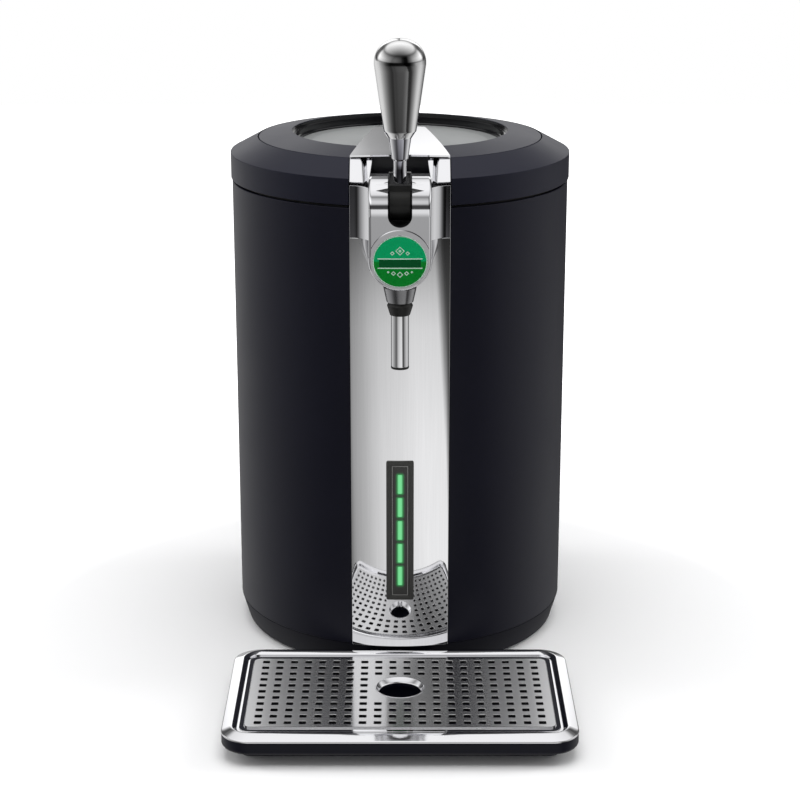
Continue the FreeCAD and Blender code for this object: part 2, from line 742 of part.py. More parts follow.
def make_lever():
    hub = rod_x(hub_r, -hub_half_w, hub_half_w, drum_y, drum_z)
    hub = hub.fuse(box(-hub_half_w, hub_half_w, drum_y - socket_half_d, drum_y + socket_half_d,
                       drum_z, socket_top_z))
    relief = box(-cam_half_w, cam_half_w, hub_r - cam_depth, 2 * hub_r, -hub_r, hub_r)
    relief.rotate(Vector(0, 0, 0), Vector(1, 0, 0), -cam_angle)
    relief.translate(Vector(0, drum_y, drum_z))
    spigot_low = drum_z + hub_r - cam_depth
    stem_r = stem_profile[0][0]
    hub = hub.cut([relief, rod_x(pin_r + pin_gap, -hub_half_w, hub_half_w, drum_y, drum_z),
                   post(stem_r, spigot_low, socket_top_z, 0, drum_y)])
    keep("lever_hub", hub)
    stem = [(r, socket_top_z + h) for r, h in stem_profile]
    neck_end_z = stem[-1][1]
    neck_spigot_z = neck_end_z + neck_spigot_h
    outline = [(0, spigot_low), (stem_r, spigot_low)] + stem
    outline += [(neck_spigot_r, neck_end_z), (neck_spigot_r, neck_spigot_z), (0, neck_spigot_z)]
    keep("lever_neck", turned(outline, 0, drum_y))
    keep("lever_grip", grip_solid(neck_end_z, neck_spigot_z))


def grip_solid(low_z, spigot_top_z):
    """The grip: a straight taper that opens to a rounded knob, turned about the lever's line."""
    grip_wide_z = low_z + grip_taper_h
    lever_top_z = grip_wide_z + grip_crown_h
    taper = turned([(0, low_z), (grip_low_r, low_z), (grip_shoulder_r, low_z + grip_shoulder_h),
                    (grip_wide_r, grip_wide_z), (0, grip_wide_z)], 0, drum_y)
    middle = Vector(0, drum_y, grip_wide_z)
    side = Vector(grip_wide_r, drum_y, grip_wide_z)
    crown = Vector(0, drum_y, lever_top_z)
    curve = Part.Ellipse(side, crown, middle).toShape(0, math.pi / 2)
    edges = [curve, Part.makeLine(crown, middle), Part.makeLine(middle, side)]
    cap = Part.Face(Part.Wire(Part.sortEdges(edges)[0])).revolve(middle, Vector(0, 0, 1), 360)
    return taper.fuse(cap).cut(post(neck_spigot_r, low_z, spigot_top_z, 0, drum_y))


def make_plunger():
    nose_y = drum_y + hub_r + body_gap
    body_y = nose_y + nose_len
    plunger = rod_y(nose_r, nose_y, body_y, 0, drum_z)
    keep("pinch_plunger", plunger.fuse(rod_y(plunger_r, body_y, body_y + plunger_len, 0, drum_z)))


def tongue_outline(gap):
    """The tongue seen from above, widened by a gap."""
    points = [(-tongue_half_w - gap, tongue_front_y - gap), (tongue_half_w + gap, tongue_front_y - gap),
              (tongue_end_half_w + gap, tongue_end_y + gap), (-tongue_end_half_w - gap, tongue_end_y + gap)]
    return [Vector(x, y, lid_low_z) for x, y in points]


def tongue_prism(gap):
    return face_of(tongue_outline(gap)).extrude(Vector(0, 0, far))


def make_lid():
    notch_w = strip_half_w + body_gap
    notch = box(-notch_w, notch_w, -far, 0, lid_low_z, far + lid_side_z)
    inner_side = lid_r - lid_t
    outer = turned([(lid_r, lid_low_z), (lid_r, lid_side_z), (ring_r, ring_z), (ring_r, ring_z - lid_t),
                    (inner_side, lid_side_z - lid_t), (inner_side, lid_low_z)])
    keep("lid_outer_ring", outer.cut(notch))
    rim_r = ring_r - ring_gap
    lip_r = window_r - window_lip
    screws = around(4, step_r, math.pi / 4)
    inner = turned([(rim_r, ring_z), (well_r, well_z), (well_r, well_z - well_step),
                    (step_r, well_z - well_step), (step_r, window_z + snug), (window_r, window_z + snug),
                    (window_r, seat_z), (lip_r, seat_z), (lip_r, ring_low_z),
                    (well_r + lid_t, ring_low_z), (rim_r, ring_z - lid_t)])
    screw_end = lid_pan_top_z + lid_screw_len
    inner = inner.cut([tongue_prism(snug)]
                      + [post(lid_screw_r, lid_pan_top_z, screw_end, x, y) for x, y in screws])
    keep("lid_inner_ring", biggest(inner))
    keep("lid_window", post(window_r, seat_z, window_z))
    keep("lid_foam", post(lip_r, lid_pan_top_z, seat_z))
    gasket_top = seam_z + gasket_h
    wall_low = gasket_top + body_gap
    pan = turned([(0, lid_pan_z), (lid_pan_r - lid_t, lid_pan_z), (lid_pan_r - lid_t, wall_low),
                  (lid_pan_r, wall_low), (lid_pan_r, lid_pan_top_z), (well_r, lid_pan_top_z),
                  (well_r, ring_low_z), (lip_r, ring_low_z), (lip_r, lid_pan_top_z), (0, lid_pan_top_z)])
    head_low = lid_pan_z - lid_screw_head_h
    pan = pan.cut([post(lid_screw_r, lid_pan_z, ring_low_z, x, y) for x, y in screws])
    keep("lid_liner", pan)
    keep("lid_screws", Part.makeCompound([post(lid_screw_head_r, head_low, lid_pan_z, x, y).fuse(
        post(lid_screw_r, lid_pan_z, screw_end, x, y)) for x, y in screws]))
    half_seal = gasket_w / 2
    keep("lid_gasket", ring(gasket_r - half_seal, gasket_r + half_seal + snug, seam_z, gasket_top))


def make_tongue():
    rise = (tongue_end_z - tongue_front_z) / (tongue_end_y - tongue_front_y)
    top_at_horn = tongue_front_z + rise * (horn_back_y - tongue_front_y)
    plate = slab_yz([(tongue_front_y, tongue_front_z), (tongue_end_y, tongue_end_z),
                     (tongue_end_y, tongue_end_z - tongue_t), (tongue_front_y, tongue_front_z - tongue_t)],
                    -tongue_half_w, tongue_half_w)
    plate = plate.common(tongue_prism(0))
    block = turned([(0, horn_low_z), (lid_r, horn_low_z), (lid_r, horn_side_z),
                    (-tongue_front_y, tongue_front_z), (0, tongue_front_z)])
    horns = []
    for side in (-1, 1):
        outline = [(side * horn_in_low_x, horn_low_z), (side * tongue_half_w, horn_low_z),
                   (side * tongue_half_w, top_at_horn), (side * horn_in_top_x, top_at_horn)]
        horns.append(block.common(slab_xz(outline, -far, horn_back_y)))
    keep("lid_tongue", plate.fuse(horns))
    under = slab_yz([(tongue_front_y, yoke_low_z), (tongue_front_y, tongue_front_z - tongue_t),
                     (tongue_end_y, tongue_end_z - tongue_t), (tongue_end_y, window_z),
                     (-well_r, window_z), (-well_r, yoke_low_z)], -tongue_half_w, tongue_half_w)
    yoke = under.common(tongue_prism(0)).cut([pieces["lid_tongue"], pieces["lid_window"],
                                             pieces["lid_inner_ring"], pieces["lid_liner"]])
    keep("lid_yoke", biggest(yoke))


def make_hinge():
    arm = box(-lid_knuckle_half, lid_knuckle_half, 0, hinge_y, hinge_z, arm_top_z)
    arm = arm.cut(post(lid_r, hinge_z, arm_top_z))
    knuckle = rod_x(knuckle_r, -lid_knuckle_half, lid_knuckle_half, hinge_y, hinge_z)
    bore = rod_x(hinge_pin_r + pin_gap, -lid_knuckle_half, lid_knuckle_half, hinge_y, hinge_z)
    keep("lid_hinge_arm", arm.fuse(knuckle).cut(bore))
    bracket = rear_band(shell_r, shell_r + bracket_t, bracket_half_w, bracket_low_z, bracket_top_z)
    ear_x = lid_knuckle_half + body_gap
    for x0, x1 in ((-bracket_half_w, -ear_x), (ear_x, bracket_half_w)):
        ear = box(x0, x1, 0, hinge_y + knuckle_r, bracket_top_z - knuckle_r, hinge_z)
        ear = ear.cut([post(lid_r + body_gap, seam_z, hinge_z), post(shell_r, bracket_low_z, seam_z)])
        bracket = bracket.fuse([ear, rod_x(knuckle_r, x0, x1, hinge_y, hinge_z)])
    pin = rod_x(hinge_pin_r, -bracket_half_w, bracket_half_w, hinge_y, hinge_z)
    keep("hinge_bracket", bracket.cut(pin))
    keep("hinge_pin", pin)


def make_tray():
    basin_inset = plinth_inset + tray_wall
    skirt = tray_block(0, tray_skirt_z, tray_rim_z)
    plinth = tray_block(plinth_inset, tray_foot_h, tray_skirt_z)
    basin = tray_block(basin_inset, tray_foot_h + tray_floor, tray_rim_z)
    shelf = tray_block(tray_wall, tray_skirt_z + tray_wall, tray_rim_z)
    hook_front = tray_rear_y - plinth_inset - tray_wall / 2
    hook = box(-hook_half_w, hook_half_w, hook_front, hook_end_y, hook_low_z, tray_skirt_z)
    keep("tray_base", skirt.fuse([plinth, hook]).cut([basin, shelf]))
    foot_x = tray_half_w - plinth_inset - 2 * tray_foot_r
    foot_front = tray_front_y + plinth_inset + 2 * tray_foot_r
    foot_rear = tray_rear_y - plinth_inset - 2 * tray_foot_r
    keep("tray_feet", Part.makeCompound([post(tray_foot_r, 0, tray_foot_h, x, y)
                                         for x in (-foot_x, foot_x) for y in (foot_front, foot_rear)]))
    rim = tray_block(0, tray_rim_z, tray_top_z)
    rim = rim.makeFillet(rim_edge, at_height(rim, tray_top_z))
    ledge_low = tray_rim_z + ledge_t
    mouth = rounded_block(rim_in_half_w, rim_in_front_y, rim_in_rear_y, step_z, tray_top_z, rim_in_r)
    keep("tray_rim", rim.cut([mouth, grid_block(body_gap, ledge_low, step_z, grid_corner_r + body_gap),
                              grid_block(-ledge_w, tray_rim_z, ledge_low, grid_corner_r)]))
    grid = grid_block(0, ledge_low, grid_top_z, grid_corner_r)
    cup = turned([(cup_bore_r, cup_low_z), (cup_bore_r + cup_wall, cup_low_z), (cup_r, ledge_low),
                  (cup_r, grid_top_z), (cup_bore_r, grid_top_z)], 0, cup_y)
    funnel = turned([(0, cup_low_z), (cup_bore_r, cup_low_z), (cup_bore_r, ledge_low),
                     (cup_r, grid_top_z), (0, grid_top_z)], 0, cup_y)
    grid = grid.fuse(cup).cut([funnel] + grid_holes(ledge_low))
    keep("tray_grid", grid)


def tray_block(inset, z0, z1):
    """The tray's outline, moved in from its edge, between two heights."""
    return rounded_block(tray_half_w - inset, tray_front_y + inset, tray_rear_y - inset,
                         z0, z1, tray_corner_r - inset)


def grid_block(grow, z0, z1, r):
    """The grid's outline, moved out from its edge, between two heights."""
    return rounded_block(grid_half_w + grow, grid_front_y - grow, grid_rear_y + grow, z0, z1, r)


def grid_holes(low_z):
    """Square holes in rows, left out where they would meet the round cup seat."""
    holes = []
    for column in range(hole_columns):
        x = (column - (hole_columns - 1) / 2) * hole_pitch_x
        for row in range(hole_rows):
            y = first_row_y - row * hole_pitch_y
            beside = max(0, abs(x) - hole_pitch_x)
            ahead = max(0, abs(y - cup_y) - hole_pitch_y)
            if math.hypot(beside, ahead) > cup_r - hole_x:
                holes.append(box(x - hole_x / 2, x + hole_x / 2, y - hole_y / 2, y + hole_y / 2,
                                 low_z, grid_top_z))
    return holes


def main():
    make_base()
    make_casing()
    make_chamber()
    make_cooling()
    make_rear()
    make_display()
    make_surround()
    make_tap()
    make_lever()
    make_plunger()
    make_lid()
    make_tongue()
    make_hinge()
    make_tray()
    os.makedirs("parts", exist_ok=True)
    for name, shape in pieces.items():
        shape.translate(shift)
        shape.exportStep("parts/" + name + ".step")
        print(name, len(shape.Solids), round(shape.Volume / 1000, 2), shape.isValid())


main()
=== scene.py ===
import json
from math import asin, cos, degrees, hypot, pi, radians, sin, sqrt, tan
import bmesh
import bpy
from mathutils import Matrix, Vector

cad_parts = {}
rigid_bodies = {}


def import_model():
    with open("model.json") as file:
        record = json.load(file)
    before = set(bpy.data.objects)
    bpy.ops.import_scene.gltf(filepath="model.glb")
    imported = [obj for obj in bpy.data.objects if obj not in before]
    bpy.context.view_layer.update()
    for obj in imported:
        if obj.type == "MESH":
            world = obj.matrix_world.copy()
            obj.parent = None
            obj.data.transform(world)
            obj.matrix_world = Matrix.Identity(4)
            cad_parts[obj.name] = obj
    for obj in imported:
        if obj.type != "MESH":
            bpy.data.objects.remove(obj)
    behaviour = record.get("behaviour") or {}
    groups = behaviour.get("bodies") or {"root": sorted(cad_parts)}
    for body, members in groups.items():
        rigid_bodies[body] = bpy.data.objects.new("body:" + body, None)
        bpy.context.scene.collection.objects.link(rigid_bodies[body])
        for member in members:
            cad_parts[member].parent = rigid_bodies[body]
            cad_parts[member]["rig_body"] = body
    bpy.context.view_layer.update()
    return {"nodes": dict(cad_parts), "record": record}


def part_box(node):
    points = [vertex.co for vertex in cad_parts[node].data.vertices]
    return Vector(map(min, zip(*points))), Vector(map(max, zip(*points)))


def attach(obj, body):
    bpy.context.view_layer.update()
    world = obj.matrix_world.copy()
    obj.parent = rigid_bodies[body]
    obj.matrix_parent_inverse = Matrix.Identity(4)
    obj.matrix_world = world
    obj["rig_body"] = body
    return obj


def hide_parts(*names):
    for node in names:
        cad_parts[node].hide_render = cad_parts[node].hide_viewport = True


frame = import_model()
scene = bpy.context.scene
print("frame loaded:", len(frame["nodes"]), "nodes")

# Meshes are made in millimetres about the drum's own axis, front towards -Y, and brought into
# the frame as they are finished.
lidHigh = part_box("lid_outer_ring")[1]
drumAxis = Vector((0, lidHigh.y - lidHigh.x, 0))
toFrame = Matrix.Translation(drumAxis) @ Matrix.Scale(0.001, 4)


def nodeBox(name):  # a CAD node's corners in millimetres about the drum's axis
    low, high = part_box(name)
    return (low - drumAxis) * 1000, (high - drumAxis) * 1000


# ---- shaders ----

def startMaterial(name, colour, roughness, metallic=0.0, gloss=0.5):
    material = bpy.data.materials.new(name)
    material.use_nodes = True
    shader = material.node_tree.nodes["Principled BSDF"]
    for socket, value in (("Base Color", (*colour, 1.0)), ("Roughness", roughness), ("Metallic", metallic),
                          ("Specular IOR Level", gloss)):
        shader.inputs[socket].default_value = value
    return material, shader


def feed(shader, socket, value):
    shader.id_data.links.new(value, shader.inputs[socket])


def added(kind, inputs, tree=None, **settings):
    # a new node's outputs, each input given as a value or as the socket that it follows
    sockets = {name: value for name, value in inputs.items() if isinstance(value, bpy.types.NodeSocket)}
    tree = tree or next(iter(sockets.values())).id_data
    node = tree.nodes.new("ShaderNode" + kind)
    for name, value in settings.items():
        setattr(node, name, value)
    for name, value in inputs.items():
        if name in sockets:
            tree.links.new(value, node.inputs[name])
        else:
            node.inputs[name].default_value = value
    return node.outputs


def objectCoords(shader, scale=(1, 1, 1), offset=(0, 0, 0)):
    where = added("TexCoord", {}, shader.id_data)["Object"]
    return added("Mapping", {"Vector": where, "Location": offset, "Scale": scale})["Vector"]


def noiseOf(vector, scale, detail=2.0):
    return added("TexNoise", {"Vector": vector, "Scale": scale, "Detail": detail})["Fac"]


def rangeOf(value, low, high, fromLow=0.3, fromHigh=0.7):
    return added("MapRange", {"Value": value, "From Min": fromLow, "From Max": fromHigh, "To Min": low,
                              "To Max": high})["Result"]


def calc(operation, *values):
    return added("Math", dict(enumerate(values)), operation=operation)["Value"]


def axesOf(vector):
    return added("SeparateXYZ", {0: vector})


def lengthOf(first, second):
    return calc("SQRT", calc("ADD", calc("POWER", first, 2.0), calc("POWER", second, 2.0)))


def nearTo(value, middle, reach):  # 1 where the value lies that near the middle
    return calc("LESS_THAN", calc("ABSOLUTE", calc("SUBTRACT", value, middle)), reach)


def blendColours(factor, first, second, way="MIX"):
    first, second = ((*value, 1.0) if isinstance(value, tuple) else value for value in (first, second))
    return added("Mix", {0: factor, 6: first, 7: second}, data_type="RGBA", blend_type=way)[2]


def bumpInto(shader, height, strength, distance):
    bump = added("Bump", {"Strength": strength, "Distance": distance, "Height": height})
    feed(shader, "Normal", bump["Normal"])


def scaled(colour, share):
    return tuple(c * share for c in colour)


def mouldedPlastic(name, colour, roughness, grain=1600.0, strength=0.35, gloss=0.5):
    # fine moulded texture, with a slow drift in tone and gloss
    material, shader = startMaterial(name, colour, roughness, gloss=gloss)
    place = objectCoords(shader)
    drift = noiseOf(place, 14.0, 3.0)
    feed(shader, "Base Color", blendColours(drift, scaled(colour, 0.88), scaled(colour, 1.12)))
    feed(shader, "Roughness", rangeOf(drift, roughness * 0.94, roughness * 1.06))
    bumpInto(shader, noiseOf(place, grain), strength, 0.00003)
    return material


def polishMarks(shader, roughness):
    # faint cloudy marks in the gloss
    cloud = noiseOf(objectCoords(shader), 60.0, 4.0)
    feed(shader, "Roughness", rangeOf(cloud, roughness * 0.75, roughness * 1.25))


def polishedMetal(name, colour, roughness):
    material, shader = startMaterial(name, colour, roughness, 1.0)
    polishMarks(shader, roughness)
    return material


def brushedMetal(name, colour, roughness, stretch, depth=0.000004):
    # hair lines drawn along one direction: stretch is small along the lines
    material, shader = startMaterial(name, colour, roughness, 1.0)
    lines = noiseOf(objectCoords(shader, scale=stretch), 900.0, 3.0)
    feed(shader, "Base Color", blendColours(lines, scaled(colour, 0.95), scaled(colour, 1.05)))
    feed(shader, "Roughness", rangeOf(lines, roughness * 0.8, roughness * 1.25))
    bumpInto(shader, lines, 0.25, depth)
    return material


def beadFoam(name, colour):
    material, shader = startMaterial(name, colour, 0.85)
    beads = added("TexVoronoi", {"Vector": objectCoords(shader), "Scale": 260.0})["Distance"]
    feed(shader, "Base Color", blendColours(beads, colour, scaled(colour, 0.78)))
    bumpInto(shader, beads, 0.6, 0.0006)
    return material


def circuitBoard(name, colour):
    material, shader = startMaterial(name, colour, 0.35)
    tones = {"Color1": 1.0, "Color2": 0.6, "Mortar": 1.9}
    inputs = {tone: (*scaled(colour, share), 1.0) for tone, share in tones.items()}
    tracks = added("TexBrick", {"Vector": objectCoords(shader), "Scale": 160.0, **inputs})
    feed(shader, "Base Color", tracks["Color"])
    return material


def lightBar(name, colour, strength):
    # brightest along the middle of each bar
    material, shader = startMaterial(name, scaled(colour, 0.05), 0.5)
    across = calc("ABSOLUTE", axesOf(objectCoords(shader))[0])
    shader.inputs["Emission Color"].default_value = (*colour, 1.0)
    feed(shader, "Emission Strength", rangeOf(across, strength, strength * 0.6, 0.0009, 0.0019))
    return material


def chromeWithPaintedEdgeSheen(name, core, rim, roughness):
    # dark metal whose base colour is painted brighter where the surface turns away from the view: a painted
    # edge sheen
    material, shader = startMaterial(name, core, roughness, 1.0)
    facing = added("LayerWeight", {"Blend": 0.5}, shader.id_data)["Facing"]
    feed(shader, "Base Color", blendColours(rangeOf(facing, 0.0, 1.0, 0.05, 0.42), core, rim))
    polishMarks(shader, roughness)
    return material


finishes = {  # the record's slots, then from pan_plastic_painted_shade on a finish for single pieces
    "shell_plastic": mouldedPlastic("softShell", (0.0020, 0.0021, 0.0088), 0.40, strength=0.2, gloss=0.26),
    # lid plastic: a lighter copy of the shell plastic, as painted light from above on the lid
    "lid_plastic": mouldedPlastic("softLid", (0.0032, 0.0036, 0.0120), 0.42, strength=0.2, gloss=0.29),
    "gloss_black": mouldedPlastic("glossBlack", (0.004, 0.004, 0.005), 0.12, strength=0.05),
    "steel": brushedMetal("drawnSteel", (0.80, 0.80, 0.81), 0.028, (1.0, 1.0, 0.02), depth=0.0000003),
    "chrome": polishedMetal("brightChrome", (0.80, 0.80, 0.82), 0.045),
    "dark_chrome": chromeWithPaintedEdgeSheen("darkChrome", (0.082, 0.082, 0.082), (0.95, 0.95, 0.95), 0.09),
    "black_plastic": mouldedPlastic("satinBlack", (0.007, 0.007, 0.0065), 0.42, 2400.0, 0.2, 0.35),
    "inner_plastic": mouldedPlastic("greyInner", (0.30, 0.30, 0.31), 0.5),
    "foam": beadFoam("beadFoam", (0.78, 0.78, 0.76)),
    "aluminium": brushedMetal("satinAluminium", (0.66, 0.67, 0.69), 0.3, (1.0, 1.0, 0.04)),
    "ceramic_white": mouldedPlastic("ceramic", (0.76, 0.76, 0.73), 0.35),
    "rubber": mouldedPlastic("softRubber", (0.012, 0.012, 0.012), 0.75, 3000.0, 0.5),
    "board": circuitBoard("circuitBoard", (0.012, 0.09, 0.03)),
    "smoked": mouldedPlastic("smokedPane", (0.011, 0.012, 0.011), 0.16, strength=0.05),
    "light_green": lightBar("greenLight", (0.19, 0.76, 0.31), 0.92),
    "badge_green": mouldedPlastic("badgeGreen", (0.0, 0.30, 0.10), 0.25),
    "window_grey": mouldedPlastic("windowGrey", (0.24, 0.25, 0.25), 0.35),
    "fastener": brushedMetal("fastenerSteel", (0.45, 0.45, 0.46), 0.35, (1.0, 1.0, 1.0)),
    # base pan: a duller copy of the shell plastic, as painted shade for the contact shadow round the base
    "pan_plastic_painted_shade": mouldedPlastic("panPlasticPaintedShade", (0.0020, 0.0021, 0.0070), 0.5, gloss=0.12),
    "navy_satin": mouldedPlastic("navySatin", (0.0045, 0.0046, 0.0085), 0.38, strength=0.1),
    # notches: dark grey as painted shade in the arrow recesses
    "notch_painted_shade": mouldedPlastic("notchPaintedShade", (0.085, 0.085, 0.088), 0.32, strength=0.1),
    # hollows: near black as painted shade in the tap's slot and the grid's holes
    "painted_hollow_shade": mouldedPlastic("paintedHollowShade", (0.012, 0.012, 0.013), 0.4, strength=0.1, gloss=0.3),
    # cheeks: chrome darkened as painted shade, with the painted edge sheen
    "cheek_chrome_painted_shade": chromeWithPaintedEdgeSheen("cheekChromePaintedShade", (0.21, 0.21, 0.225), (0.95, 0.95, 0.97), 0.06),
    # lever neck: chrome darkened as painted shade, with the painted edge sheen
    "neck_chrome_painted_shade": chromeWithPaintedEdgeSheen("neckChromePaintedShade", (0.30, 0.30, 0.34), (0.9, 0.9, 0.92), 0.06),
    # nozzle: steel darkened as painted shade under the tap head
    "satin_steel_painted_shade": polishedMetal("satinSteelPaintedShade", (0.34, 0.34, 0.35), 0.22),
    "bezel": mouldedPlastic("bezelGrey", (0.036, 0.036, 0.033), 0.38, 2600.0),
    "printed": mouldedPlastic("printedLine", (0.27, 0.27, 0.26), 0.45),
}
slotOf = {part["node"]: part["material_slot"] for part in frame["record"]["subparts"]}
for nodeName, node in frame["nodes"].items():
    node.data.materials.clear()
    node.data.materials.append(finishes[slotOf[nodeName]])
print("finishes made:", len(finishes))


# ---- ways of making a piece ----

def outward(bm):
    bmesh.ops.recalc_face_normals(bm, faces=bm.faces)


def arcPoints(centre, radius, first, last, count):  # in degrees, from the first axis towards the second
    y, z = centre
    return [(y + radius * cos(radians(a)), z + radius * sin(radians(a)))
            for a in (first + (last - first) * i / count for i in range(count + 1))]


def turned(outline, closed=True, centre=(0.0, 0.0), steps=144):
    # a lathe piece: the outline is (radius, height) pairs, turned about an upright line
    bm = bmesh.new()
    x, y = centre
    verts = [bm.verts.new((x + r, y, z)) for r, z in outline]
    edges = [bm.edges.new(pair) for pair in zip(verts, verts[1:])]
    if closed:
        edges.append(bm.edges.new((verts[-1], verts[0])))
    bmesh.ops.spin(bm, geom=verts + edges, cent=(x, y, 0), axis=(0, 0, 1), angle=2 * pi, steps=steps,
                   use_merge=True)
    bmesh.ops.remove_doubles(bm, verts=bm.verts, dist=0.001)
    return bm


def aimed(centre, axis):  # takes the upright line to one through the centre
    return Matrix.Translation(centre) @ Vector((0, 0, 1)).rotation_difference(axis).to_matrix().to_4x4()


def turnedAbout(outline, centre, axis, steps=96):  # a lathe piece about any line
    bm = turned(outline, closed=False, steps=steps)
    bm.transform(aimed(centre, axis))
    return bm


def sweptWall(radius, angles, counts, heights):
    # an upright line swept round the drum's axis, by angles counted from the front
    bm = bmesh.new()
    line = [bm.verts.new((0, -radius, z)) for z in heights]
    geom = line + [bm.edges.new(pair) for pair in zip(line, line[1:])]
    bmesh.ops.rotate(bm, verts=line, cent=(0, 0, 0), matrix=Matrix.Rotation(angles[0], 3, "Z"))
    for before, after, count in zip(angles, angles[1:], counts):
        geom = bmesh.ops.spin(bm, geom=geom, cent=(0, 0, 0), axis=(0, 0, 1), angle=after - before,
                              steps=count, use_merge=False)["geom_last"]
    bmesh.ops.remove_doubles(bm, verts=bm.verts, dist=0.01)
    return bm


def removeFaces(bm, unwanted):  # by a test of each face's centre
    bmesh.ops.delete(bm, geom=[f for f in bm.faces if unwanted(f.calc_center_median())], context="FACES")


def closeHoles(bm):
    bmesh.ops.holes_fill(bm, edges=[e for e in bm.edges if e.is_boundary], sides=0)


def thicken(bm, wall, side):
    # faces turned to look out along side, then a wall grown behind them
    outward(bm)
    outer = max(bm.faces, key=lambda f: f.calc_center_median().dot(side))
    if outer.normal.dot(side) < 0:
        bmesh.ops.reverse_faces(bm, faces=bm.faces)
    bmesh.ops.solidify(bm, geom=bm.faces[:], thickness=wall)


def prism(points, depth):
    # a flat outline given a thickness along a direction
    bm = bmesh.new()
    face = bm.faces.new([bm.verts.new(p) for p in points])
    grown = bmesh.ops.extrude_face_region(bm, geom=[face])
    moved = [g for g in grown["geom"] if isinstance(g, bmesh.types.BMVert)]
    bmesh.ops.translate(bm, verts=moved, vec=depth)
    outward(bm)
    return bm


def loft(bm, loops, around=False):
    # skins equal loops of points one after another
    rings = [[bm.verts.new(p) for p in loop] for loop in loops]
    pairs = list(zip(rings, rings[1:])) + ([(rings[-1], rings[0])] if around else [])
    for first, second in pairs:
        for i in range(len(first)):
            j = (i + 1) % len(first)
            bm.faces.new((first[i], first[j], second[j], second[i]))
    return rings


def cappedLoft(loops):
    bm = bmesh.new()
    rings = loft(bm, loops)
    bm.faces.new(rings[0])
    bm.faces.new(rings[-1])
    outward(bm)
    return bm


def stackSections(sections, flip):  # plan views by their heights, on the right or mirrored
    return cappedLoft([[(flip * x, y, z) for x, y in points] for z, points in sections])


def bevelled(bm, edges, width, segments, clamp=True):
    bmesh.ops.bevel(bm, geom=edges, offset=width, offset_type="OFFSET", segments=segments, profile=0.5,
                    affect="EDGES", clamp_overlap=clamp, material=-1)


def soften(bm, width, segments=3, angle=40.0, where=None):
    # rounds the edges sharper than the angle, in the region asked for
    edges = [e for e in bm.edges if len(e.link_faces) == 2 and e.calc_face_angle(0.0) > radians(angle)
             and (where is None or where((e.verts[0].co + e.verts[1].co) / 2))]
    if edges:
        bevelled(bm, edges, width, segments)


def mirrorX(bm):
    both = bm.verts[:] + bm.edges[:] + bm.faces[:]
    bmesh.ops.mirror(bm, geom=both, matrix=Matrix.Identity(4), merge_dist=0.001, axis="X")
    bmesh.ops.remove_doubles(bm, verts=bm.verts, dist=0.001)


def placed(bm, name):
    mesh = bpy.data.meshes.new(name)
    bm.to_mesh(mesh)
    bm.free()
    piece = bpy.data.objects.new(name, mesh)
    scene.collection.objects.link(piece)
    return piece


def finishPiece(bm, name, body, slotName, stands=(), material=None, crease=35.0, others=(), even=True):
    # into the frame, outward faces, shading split at hard edges, riding on its body
    outward(bm)
    bm.transform(toFrame)
    piece = placed(bm, name)
    piece.data.shade_smooth()
    piece.data.set_sharp_from_angle(angle=radians(crease))
    for look in (material or finishes[slotName], *others):
        piece.data.materials.append(look)
    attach(piece, body)
    if stands:
        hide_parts(*stands)
    if even:  # flat faces keep flat shading beside their rounded edges
        piece.modifiers.new("evenShading", "WEIGHTED_NORMAL").keep_sharp = True
    return piece


def softened(nodeName, width):
    # a CAD node's own shape with its edges broken, for the boxy mouldings
    source = frame["nodes"][nodeName]
    bm = bmesh.new()
    bm.from_mesh(source.data)
    bm.transform(toFrame.inverted())
    bmesh.ops.remove_doubles(bm, verts=bm.verts, dist=0.002)
    bmesh.ops.dissolve_limit(bm, angle_limit=radians(1.0), verts=bm.verts, edges=bm.edges)
    soften(bm, width, 2)
    finishPiece(bm, nodeName + "_soft", source["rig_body"], slotOf[nodeName], [nodeName])


# ---- studio ----

studio = {
    "cameraPlace": (0.0, -1.53788, 0.67503),
    "cameraTurn": (73.186, 0.0, 0.0),
    "lens": 90.2,
    "floorSize": 6.0,
    "floorColour": (0.93, 0.93, 0.935),
    "fill": 0.42,
    "nearGlow": 0.0,
    "glowReach": (0.32, 0.75),
    "background": 1.0,
    "aim": (0, 0, 0.25),
    "lights": {  # place, size and power
        "overhead": ((0.0, -0.15, 2.0), (1.6, 1.6), 26.0),
        "leftPanel": ((-1.5, 0.25, 0.7), (0.5, 1.4), 11.0),
        "rightPanel": ((1.5, 0.25, 0.7), (0.5, 1.4), 11.0),
    },
    # what gloss sees: levels by degrees of rise, and by degrees of turn below and above the horizon
    "rises": [(-90, 0.45), (-50, 0.55), (-36, 0.42), (-27, 0.44), (-23, 0.92), (-18, 0.88), (-14.5, 0.72),
             (-12, 0.24), (-9, 0.05), (0, 0.05), (3.5, 0.25), (9, 1.0), (18, 1.15), (30, 0.75), (38, 0.3),
             (48, 0.9), (70, 1.1), (90, 1.1)],
    "below": [(-180, 0.35), (-154, 0.62), (-132, 0.85), (-117, 0.80), (-94, 0.60), (-75, 0.42), (-60, 0.26),
             (-44, 0.17), (-38, 0.20), (-32, 0.46), (-24, 0.62), (-18.5, 0.77), (-12, 0.90), (0, 0.98),
             (15, 1.12), (31, 1.10), (34, 0.40), (37, 0.10), (50, 0.10), (62, 0.35), (94, 0.78), (117, 0.72),
             (132, 0.55), (144, 0.34), (165, 0.12), (180, 0.12)],
    "above": [(-180, 0.20), (-178.2, 0.42), (-176, 1.3), (-160, 1.4), (-152, 0.12), (-128, 0.12), (-115, 1.0),
             (-60, 1.0), (-34, 1.3), (-20, 1.25), (-8, 0.9), (2, 0.62), (10, 0.16), (20, 0.03), (32, 0.03),
             (40, 0.5), (60, 1.0), (115, 1.0), (128, 0.12), (152, 0.12), (160, 1.3), (176, 1.2), (180, 1.0)],
}


